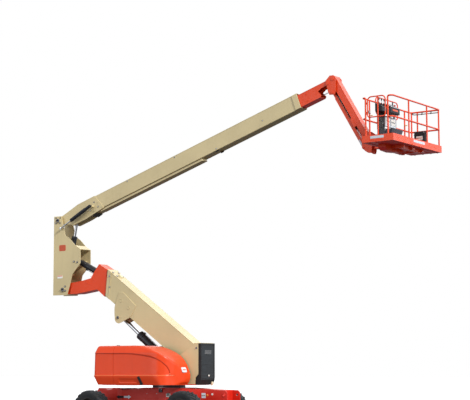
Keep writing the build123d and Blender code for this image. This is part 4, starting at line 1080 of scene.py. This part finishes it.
# main panel: hooded top with two light rails, switch rows and blank plates
slab(bag, P(XR + 38, 163, 7698), EX, EZ, [(0, 0), (0.205, 0), (0.205, 0.155), (0.17, 0.175), (0.02, 0.25), (0, 0.25)], 0.466, "plastic", 0.006, 0.01)
face_v = unit(np.array((-0.15, 0, 0.075)))
fo = P(XR + 125, -70, 7915)
nrm_ = unit(np.array((0.075, 0, 0.15)))
for dv, h_ in ((0.056, 0.014), (-0.060, 0.018)):
    plate(bag, fo + face_v * dv, EY, -face_v, 0.44, h_, 0.012, "steel", 0.004, 0.002)
plate(bag, P(XR + 243, -70, 7846), EY, EZ, 0.44, 0.014, 0.010, "steel", 0.004, 0.002)
for i in range(8):
    o = fo + EY * (-0.185 + i * 0.045)
    lathe(bag, o, nrm_, [(0.010, 0), (0.010, 0.006), (0.006, 0.008), (0.004, 0.010), (0.0045, 0.026), (0.0025, 0.030), (0, 0.030)], "steel" if i % 3 else "strap", 12)
for i, m_ in enumerate(("white", "doc", "white")):
    plate(bag, fo + EY * (-0.14 + 0.14 * i) - face_v * 0.030 + nrm_ * 0.001, EY, -face_v, 0.10, 0.018, 0.003, m_, 0.003)
lathe(bag, fo + EY * 0.195 + face_v * 0.01, nrm_, [(0.018, 0), (0.018, 0.016), (0.030, 0.020), (0.030, 0.034), (0.024, 0.040), (0, 0.040)], "redbtn", 28)
# upright clip at the panel's right end
tube(bag, smooth_path([P(XR + 60, 140, 7935), P(XR + 58, 140, 8005), P(XR + 66, 142, 8040)], 0.02), 0.015, "strap", 10)
# drive and lift levers on the lower box at the left, with their boots
slab(bag, P(XR + 38, -300, 7688), EX, EZ, [(0, 0), (0.19, 0), (0.19, 0.115), (0.14, 0.14), (0.0, 0.205)], 0.388, "plastic", 0.005, 0.01)
for y in (-635, -505, -375):
    o = P(XR + 104, y, 7862)
    lathe(bag, o, EZ, [(0.036, -0.02), (0.036, 0.008), (0.028, 0.016), (0.032, 0.024), (0.022, 0.034), (0.025, 0.042), (0.015, 0.054), (0.008, 0.06)], "strap", 28)
    tube(bag, np.array([o + EZ * 0.05, o + EZ * 0.08 + EX * 0.003, o + EZ * 0.115 + EX * 0.006]), 0.007, "steel", 10)
    lathe(bag, o + EZ * 0.11 + EX * 0.006, EZ, [(0.008, 0), (0.016, 0.008), (0.019, 0.03), (0.016, 0.048), (0.009, 0.058), (0, 0.06)], "plastic", 20)
plate(bag, P(XR + 244, -70, 7780), EY, EZ, 0.26, 0.045, 0.003, "redlabel", 0.004)
# light document panel under the console with its frame and two clips
slab(bag, P(XR + 52, 268, 7390), EX, EZ, [(0, 0), (0.024, 0), (0.024, 0.25), (0, 0.25)], 0.554, "doc", 0.004, 0.006)
for z0, z1 in ((7386, 7398), (7632, 7644)):
    block(bag, (XR + 50, XR + 82), (-290, 272), (z0, z1), "grey", 0.002)
for y0, y1 in ((-290, -278), (260, 272), (-14, -2)):
    block(bag, (XR + 50, XR + 82), (y0, y1), (7390, 7640), "grey", 0.002)
label(bag, P(XR + 79, -145, 7530), -EY, -EZ, 0.19, 0.12, "white", "grey")
label(bag, P(XR + 79, 125, 7520), -EY, -EZ, 0.20, 0.15, "white", "grey")
# dark stanchion and tray under it
for y in (-270, 245):
    block(bag, (XR + 22, XR + 54), (y - 18, y + 18), (7230, 7720), "black_paint", 0.003)
slab(bag, P(XR + 30, 320, 7235), EX, EZ, [(0, 0), (0.17, 0), (0.215, 0.105), (0.20, 0.112), (0.162, 0.014), (0.012, 0.014), (0.012, 0.112), (0, 0.112)], 0.52, "grey2", 0.002)
for y in (-199, 312):
    slab(bag, P(XR + 32, y + 8, 7237), EX, EZ, [(0, 0), (0.168, 0), (0.21, 0.1), (0, 0.1)], 0.008, "grey2", 0.002)
# foot switch box on the floor with its hinged pedal
block(bag, (XR + 30, XR + 330), (-593, -248), (6892, 7010), "plastic", 0.008, 0.02)
slab(bag, P(XR + 120, -300, 7012), EX, EZ, [(0, 0), (0.17, 0), (0.20, 0.022), (0.185, 0.030), (0.0, 0.016)], 0.22, "tread2", 0.002)
block(bag, (XR + 24, XR + 120), (-593, -300), (7010, 7273), "plastic", 0.01, 0.02)
# conduits from the boxes to the floor box, strapped to a backing strip
block(bag, (XR + 22, XR + 34), (-584, -330), (7270, 7730), "black_paint", 0.003)
for k, y in enumerate((-560, -520, -480, -440, -400, -362)):
    path = [P(XR + 62, y, 7735), P(XR + 52 + 6 * (k % 2), y + 14, 7600), P(XR + 50, y - 10, 7440), P(XR + 60, y - 12 + 4 * k, 7265)]
    tube(bag, smooth_path(path, 0.03), 0.013, "hose", 9)
for z in (7340, 7500, 7640):
    block(bag, (XR + 32, XR + 74), (-588, -330), (z - 9, z + 9), "strap", 0.003)
bag.make("console_furniture", "platform", 34)

# platform: floor plate, toe welds, brackets, grey tube, blank plates
bag = Bag()
block(bag, (PX0 + 8, PX1 - 8), (-1232, 1232), (6890, 6894), "tread", 0.001)
for s in (-1, 1):
    weld(bag, P(PX0 + 10, s * 1234, 6893), P(PX1 - 10, s * 1234, 6893), 0.004, "orange")
for x in (PX0 - 1, PX1 + 1):
    weld(bag, P(x, -1236, 6861), P(x, 1236, 6861), 0.004, "orange")
# foot plates under the posts
for x, y in ((RX0, -900), (RX0, 860), (RX1, -410), (RX1, 520)):
    slab(bag, P(x - 30, y - 30, 6894), EX, EY, [(0, 0), (0.06, 0), (0.06, 0.06), (0, 0.06)], 0.008, "orange", 0.001, 0.008)
    lathe(bag, P(x, y, 6902), EZ, [(0.0235, 0), (0.0235, 0.006), (0.0185, 0.011)], "orange", 24)
tube(bag, smooth_path([P(6706, 1196, 7930), P(6722, 1196, 7900), P(6758, 1196, 7874), P(6850, 1196, 7870), P(7150, 1196, 7866), P(7440, 1196, 7862)], 0.03), 0.012, "grey", 14)
for x in (6720, 6980, 7230, 7430):
    lathe(bag, P(x - 8, 1196, 7868 if x > 6750 else 7905), EX, [(0.011, 0), (0.019, 0), (0.019, 0.016), (0.011, 0.016)], "black_paint", 16)
    block(bag, (x - 8, x + 8), (1196, 1216), (7872, 7925), "black_paint", 0.002)
label(bag, P(PX1, 48, 6966), EY, EZ, 0.57, 0.062, "doc")
# harness anchors on the posts
for x, y, n in ((RX0, -890, EX), (RX0, 850, EX)):
    path = [P(x + 18, y - 30, 7560), P(x + 60, y - 22, 7560), P(x + 74, y, 7560), P(x + 60, y + 22, 7560), P(x + 18, y + 30, 7560)]
    tube(bag, smooth_path(path, 0.01), 0.007, "yellow", 10)
# small fixed device on the rear rail and level vial plate
block(bag, (RX0 + 14, RX0 + 52), (-1010, -930), (7600, 7668), "grey", 0.004, 0.006)
label(bag, P(RX0 + 53, -970, 7634), EY, EZ, 0.05, 0.04, "white")
bag.make("platform_fittings", "platform", 34)

# stiffening under the floor: ribs, bolts and welds
bag = Bag()
# ribs and welds below the floor take the darker red underside colour: painted shade
for x in (PX0 + 120, PX0 + 340, PX0 + 560, PX0 + 740):
    o = P(x, -1215, 6860)
    slab(bag, P(x - 14, 1215, 6860), EX, -EZ, [(0, 0), (0.028, 0), (0.020, 0.014), (0.008, 0.014)], 2.43 * (1 if np.cross(EX, -EZ)[1] < 0 else -1), "orange_underside_shade", 0.001)
for y in (-480, 480):
    for x in (6715, 7355):
        bolt(bag, P(x, y, 6790), -EZ, 0.013)
    weld(bag, P(PX0 + 65, y - 40, 6858), P(PX1 - 125, y - 40, 6858), 0.005, "orange_underside_shade")
    weld(bag, P(PX0 + 65, y + 40, 6858), P(PX1 - 125, y + 40, 6858), 0.005, "orange_underside_shade")
bag.make("platform_underside", "platform", 34)

# gate: latch, toe plate's blank sign, knuckle washers
bag = Bag()
label(bag, P(7048, -1238, 6970), EX, EZ, 0.36, 0.062, "doc")
for z in (7560, 7800):
    lathe(bag, P(6770, -1214, z + 20), EZ, [(0.0055, 0), (0.014, 0), (0.014, 0.004), (0.0055, 0.004)], "steel", 18)
block(bag, (7262, 7330), (-1232, -1200), (7612, 7664), "orange", 0.003, 0.006)
tube(bag, smooth_path([P(7300, -1234, 7639), P(7300, -1262, 7639), P(7296, -1268, 7604), P(7290, -1268, 7554)], 0.01), 0.006, "steel", 10)
bag.make("gate_fittings", "gate", 34)

# storage box: lid, lip, catch and blank plate
bag = Bag()
block(bag, (7128, 7444), (447, 535), (7286, 7304), "plastic", 0.006, 0.016)
for x in (7150, 7400):
    block(bag, (x, x + 18), (446, 452), (7262, 7290), "steel", 0.002)
label(bag, P(7285, 452, 7140), EX, EZ, 0.17, 0.09, "white", "redlabel")
for z in (6990, 7215):
    block(bag, (7134, 7439), (449, 452.5), (z - 6, z + 6), "plastic", 0.0015)
bag.make("storage_box_fittings", "platform", 34)


# --------------------------------------------------- turntable and chassis
bag = Bag()
# riser: bolts, welds, side plate edges, and the top strip and tip in lighter beige as a painted highlight
for s in (-1, 1):
    lathe(bag, P(1120, s * 310, 2120), EY * s, [(0.028, -0.002), (0.028, 0.006), (0.018, 0.006)], "black_paint", 20)
    bolt(bag, P(1120, s * 315, 2120), EY * s, 0.016)
    weld(bag, P(180, s * 309, 1180), P(1060, s * 309, 1180), 0.006, "beige")
    lathe(bag, P(700, s * 324, 1632), EY * s, [(0.075, -0.002), (0.075, 0.008), (0.06, 0.014), (0.03, 0.014), (0.025, 0.008), (0, 0.008)], "bare", 36)
# cover: side bands, vents, bolts
FX = 1186 + 75
for s in (-1, 1):
    block(bag, (FX - 4, FX + 5), (s * 282 - 26, s * 282 + 26), (1330, 2238), "cover", 0.003)
    for z in (1500, 1800, 2100):
        bolt(bag, P(FX + 4, s * 284, z), EX, 0.007, "iron")
block(bag, (FX - 6, FX + 1), (-248, 262), (1335, 2185), "panel", 0.002)
for k in range(4):
    z = 1975 + k * 26
    block(bag, (FX - 2, FX + 5), (-130, 150), (z - 5, z + 5), "grey", 0.002)
for z in (1420, 1700):
    block(bag, (FX - 2, FX + 3.5), (-240, 255), (z - 4, z + 4), "cover", 0.0015)
# top strip of the riser in lighter beige: painted highlight
block(bag, (FX - 50, FX + 4), (-235, 235), (2244, 2254), "beige_top_highlight", 0.002)
bolt(bag, P(FX + 2, 45, 1410), EX, 0.02, "white")
# the riser's tip in lighter beige: painted highlight
slab(bag, P(1222, 262, 1150), EX, EZ, [(0, 0.0), (0.03, 0.03), (0.045, 0.085), (0.03, 0.1), (0, 0.1)], 0.07, "beige_top_highlight", 0.003)
bag.make("riser_fittings", "turntable", 34)

bag = Bag()
# bearing: bolt circles and seal lip
for i in range(36):
    a = 2 * math.pi * i / 36
    bolt(bag, P(0, 0, 1167) + 0.398 * np.array((math.cos(a), math.sin(a), 0)), EZ, 0.012)
lathe(bag, P(0, 0, 1128), EZ, [(0.428, -0.012), (0.436, -0.008), (0.436, 0.008), (0.428, 0.012)], "strap", 72)
bag.make("bearing_fittings", "turntable", 34)

bag = Bag()
# chassis: arrows, blank plates, reflectors, box, welds, hub lines
for s in (-1, 1):
    y = s * 430
    ex = EX if s < 0 else -EX
    def at(x, z):
        return P(x, y, z)
    o = P(-1190, y, 848)
    left = [(-0.256, 0), (-0.155, 0.055), (-0.155, 0.027), (-0.004, 0.027), (-0.004, -0.027), (-0.155, -0.027), (-0.155, -0.055)]
    right = [(-x, z) for x, z in left]
    slab(bag, o, ex, EZ, left, 0.003, "black_paint", 0.001)
    slab(bag, o, ex, EZ, right, 0.003, "doc", 0.001)
    y3 = s * 300
    label(bag, P(1346, y3, 900), ex, EZ, 0.13, 0.13, "doc", "grey")
    lathe(bag, P(1464, y3, 909), EY * s, [(0.030, 0), (0.030, 0.006), (0.024, 0.009), (0, 0.011)], "lens", 28)
    lathe(bag, P(1622, y3, 935), EY * s, [(0.028, 0), (0.028, 0.005), (0.020, 0.006), (0, 0.006)], "white", 24)
    lathe(bag, P(1985, y3, 920), EY * s, [(0.034, 0.0), (0.052, 0.0), (0.052, 0.008), (0.046, 0.010), (0.034, 0.010), (0.034, 0.0)], "orange_red", 32)
    lathe(bag, P(-2190, s * 330, 922), EY * s, [(0.034, 0.0), (0.052, 0.0), (0.052, 0.008), (0.046, 0.010), (0.034, 0.010), (0.034, 0.0)], "orange_red", 32)
    weld(bag, P(-1200, s * 429, 1026), P(-540, s * 429, 1090), 0.006, "orange_red")
    weld(bag, P(-1390, s * 429, 566), P(740, s * 429, 566), 0.006, "orange_red")
    weld(bag, P(-1560, s * 332, 700), P(-2050, s * 332, 700), 0.006, "orange_red")
    label(bag, P(300, y, 900), ex, EZ, 0.14, 0.09, "white", "redlabel")
    # a bolted cover over a filter niche
    block(bag, (-420, -60), (s * 430 - 3, s * 430 + 3), (700, 960), "orange_red", 0.003, 0.02, "y")
    for x in (-400, -80):
        for z in (720, 940):
            bolt(bag, P(x, s * 433, z), EY * s, 0.008)
block(bag, (-4, 116), (-452, -400), (974, 1084), "black_paint", 0.006, 0.01)
for x in (14, 98):
    bolt(bag, P(x, -452, 1060), -EY, 0.008)
block(bag, (260, 350), (-448, -410), (880, 960), "grey", 0.005, 0.008)
bag.make("chassis_fittings", "chassis", 34)


# ------------------------------------------------- CAD nodes' own materials
SLOT = {"orange_red_paint": "orange_red", "bare_steel": "bare", "tyre_rubber": "tyre", "rim_paint": "rim", "orange_paint": "orange",
        "beige_paint": "beige", "black_cover": "plastic", "engine_iron": "iron", "black_paint": "black_paint", "chrome_rod": "chrome"}
OWN = {"riser_cover": "cover", "turntable_frame": "orange", "tanks": "plastic", "platform_floor": "orange"}
for row in frame["record"]["subparts"]:
    o = NODES[row["node"]]
    key = OWN.get(row["node"], SLOT[row["material_slot"]])
    if not o.data.materials:
        o.data.materials.append(M[key])
    for i in range(len(o.material_slots)):
        o.material_slots[i].material = M[key]


# --------------------------------------------------- floor, light and camera
def stage_floor():
    bpy.ops.mesh.primitive_plane_add(size=400, location=(0, 0, -0.001))
    o = bpy.context.object
    o.name = "stage_floor"
    m, nt, b = graph("stage_floor_paint")
    n = noise(nt, 0.5, 3)
    link(nt, blend(nt, span(nt, n, 0.3, 0.7), rgb((0.93, 0.93, 0.93)), rgb((0.96, 0.96, 0.96))), b.inputs["Base Color"])
    link(nt, span(nt, n, 0.3, 0.7, 0.85, 0.95), b.inputs["Roughness"])
    b.inputs["Specular IOR Level"].default_value = 0.0
    b.inputs["Emission Color"].default_value = (1, 1, 1, 1)
    b.inputs["Emission Strength"].default_value = 0.12
    o.data.materials.append(m)
    o.visible_diffuse = False
    o.visible_glossy = False


stage_floor()
world = bpy.data.worlds.new("studio")
world.use_nodes = True
bpy.context.scene.world = world
nt = world.node_tree
nt.nodes.clear()
wo = nt.nodes.new("ShaderNodeOutputWorld")
bg = nt.nodes.new("ShaderNodeBackground")
lp = nt.nodes.new("ShaderNodeLightPath")
gen = nt.nodes.new("ShaderNodeTexCoord")
sp = nt.nodes.new("ShaderNodeSeparateXYZ")
link(nt, gen.outputs["Generated"], sp.inputs[0])
low = span(nt, sp.outputs[2], -0.3, 0.05, 0.20, 0.38)
high = span(nt, sp.outputs[2], 0.05, 0.9, 0.0, 0.30)
back = mth(nt, "MULTIPLY", span(nt, sp.outputs[1], 0.3, 0.85, 0.0, 1.7), span(nt, sp.outputs[2], -0.05, 0.1, 0.0, 1.0))
env = mth(nt, "ADD", mth(nt, "ADD", low, high), back)
comb = nt.nodes.new("ShaderNodeCombineColor")
for i, k in enumerate((0.97, 0.985, 1.02)):
    link(nt, mth(nt, "MULTIPLY", env, k), comb.inputs[i])
link(nt, blend(nt, lp.outputs["Is Camera Ray"], comb.outputs[0], (1.0, 1.0, 1.0, 1.0)), bg.inputs["Color"])
link(nt, bg.outputs[0], wo.inputs[0])


def sun(name, d, power, angle, color=(1, 1, 1)):
    l = bpy.data.lights.new(name, "SUN")
    l.energy, l.angle, l.color = power, math.radians(angle), color
    o = bpy.data.objects.new(name, l)
    o.rotation_mode = "QUATERNION"
    o.rotation_quaternion = Vector(d).to_track_quat("Z", "Y")
    bpy.context.scene.collection.objects.link(o)
    return o


sun("key_light", (0.83, -0.30, 0.46), 3.3, 12, (1.0, 0.985, 0.95))
sun("fill_light", (-0.35, -0.9, 0.16), 0.62, 40, (0.97, 0.985, 1.0))

cam = bpy.data.cameras.new("camera")
co = bpy.data.objects.new("camera", cam)
bpy.context.scene.collection.objects.link(co)
yaw, pitch, roll = (math.radians(a) for a in (34.7808, 6.7528, -0.1393))
F = np.array((-math.sin(yaw) * math.cos(pitch), math.cos(yaw) * math.cos(pitch), math.sin(pitch)))
R = np.array((math.cos(yaw), math.sin(yaw), 0.0))
U = np.cross(R, F)
R2, U2 = math.cos(roll) * R + math.sin(roll) * U, -math.sin(roll) * R + math.cos(roll) * U
mat = Matrix.Identity(4)
for i in range(3):
    mat[i][0], mat[i][1], mat[i][2] = R2[i], U2[i], -F[i]
mat[0][3], mat[1][3], mat[2][3] = 21.4642, -30.3887, 1.5586
co.matrix_world = mat
cam.sensor_fit, cam.sensor_width, cam.lens = "HORIZONTAL", 36.0, 109.80
cam.clip_start, cam.clip_end = 0.5, 600.0
bpy.context.scene.camera = co
vs = bpy.context.scene.view_settings
vs.view_transform, vs.look, vs.exposure, vs.gamma = "Standard", "None", 0.0, 1.0
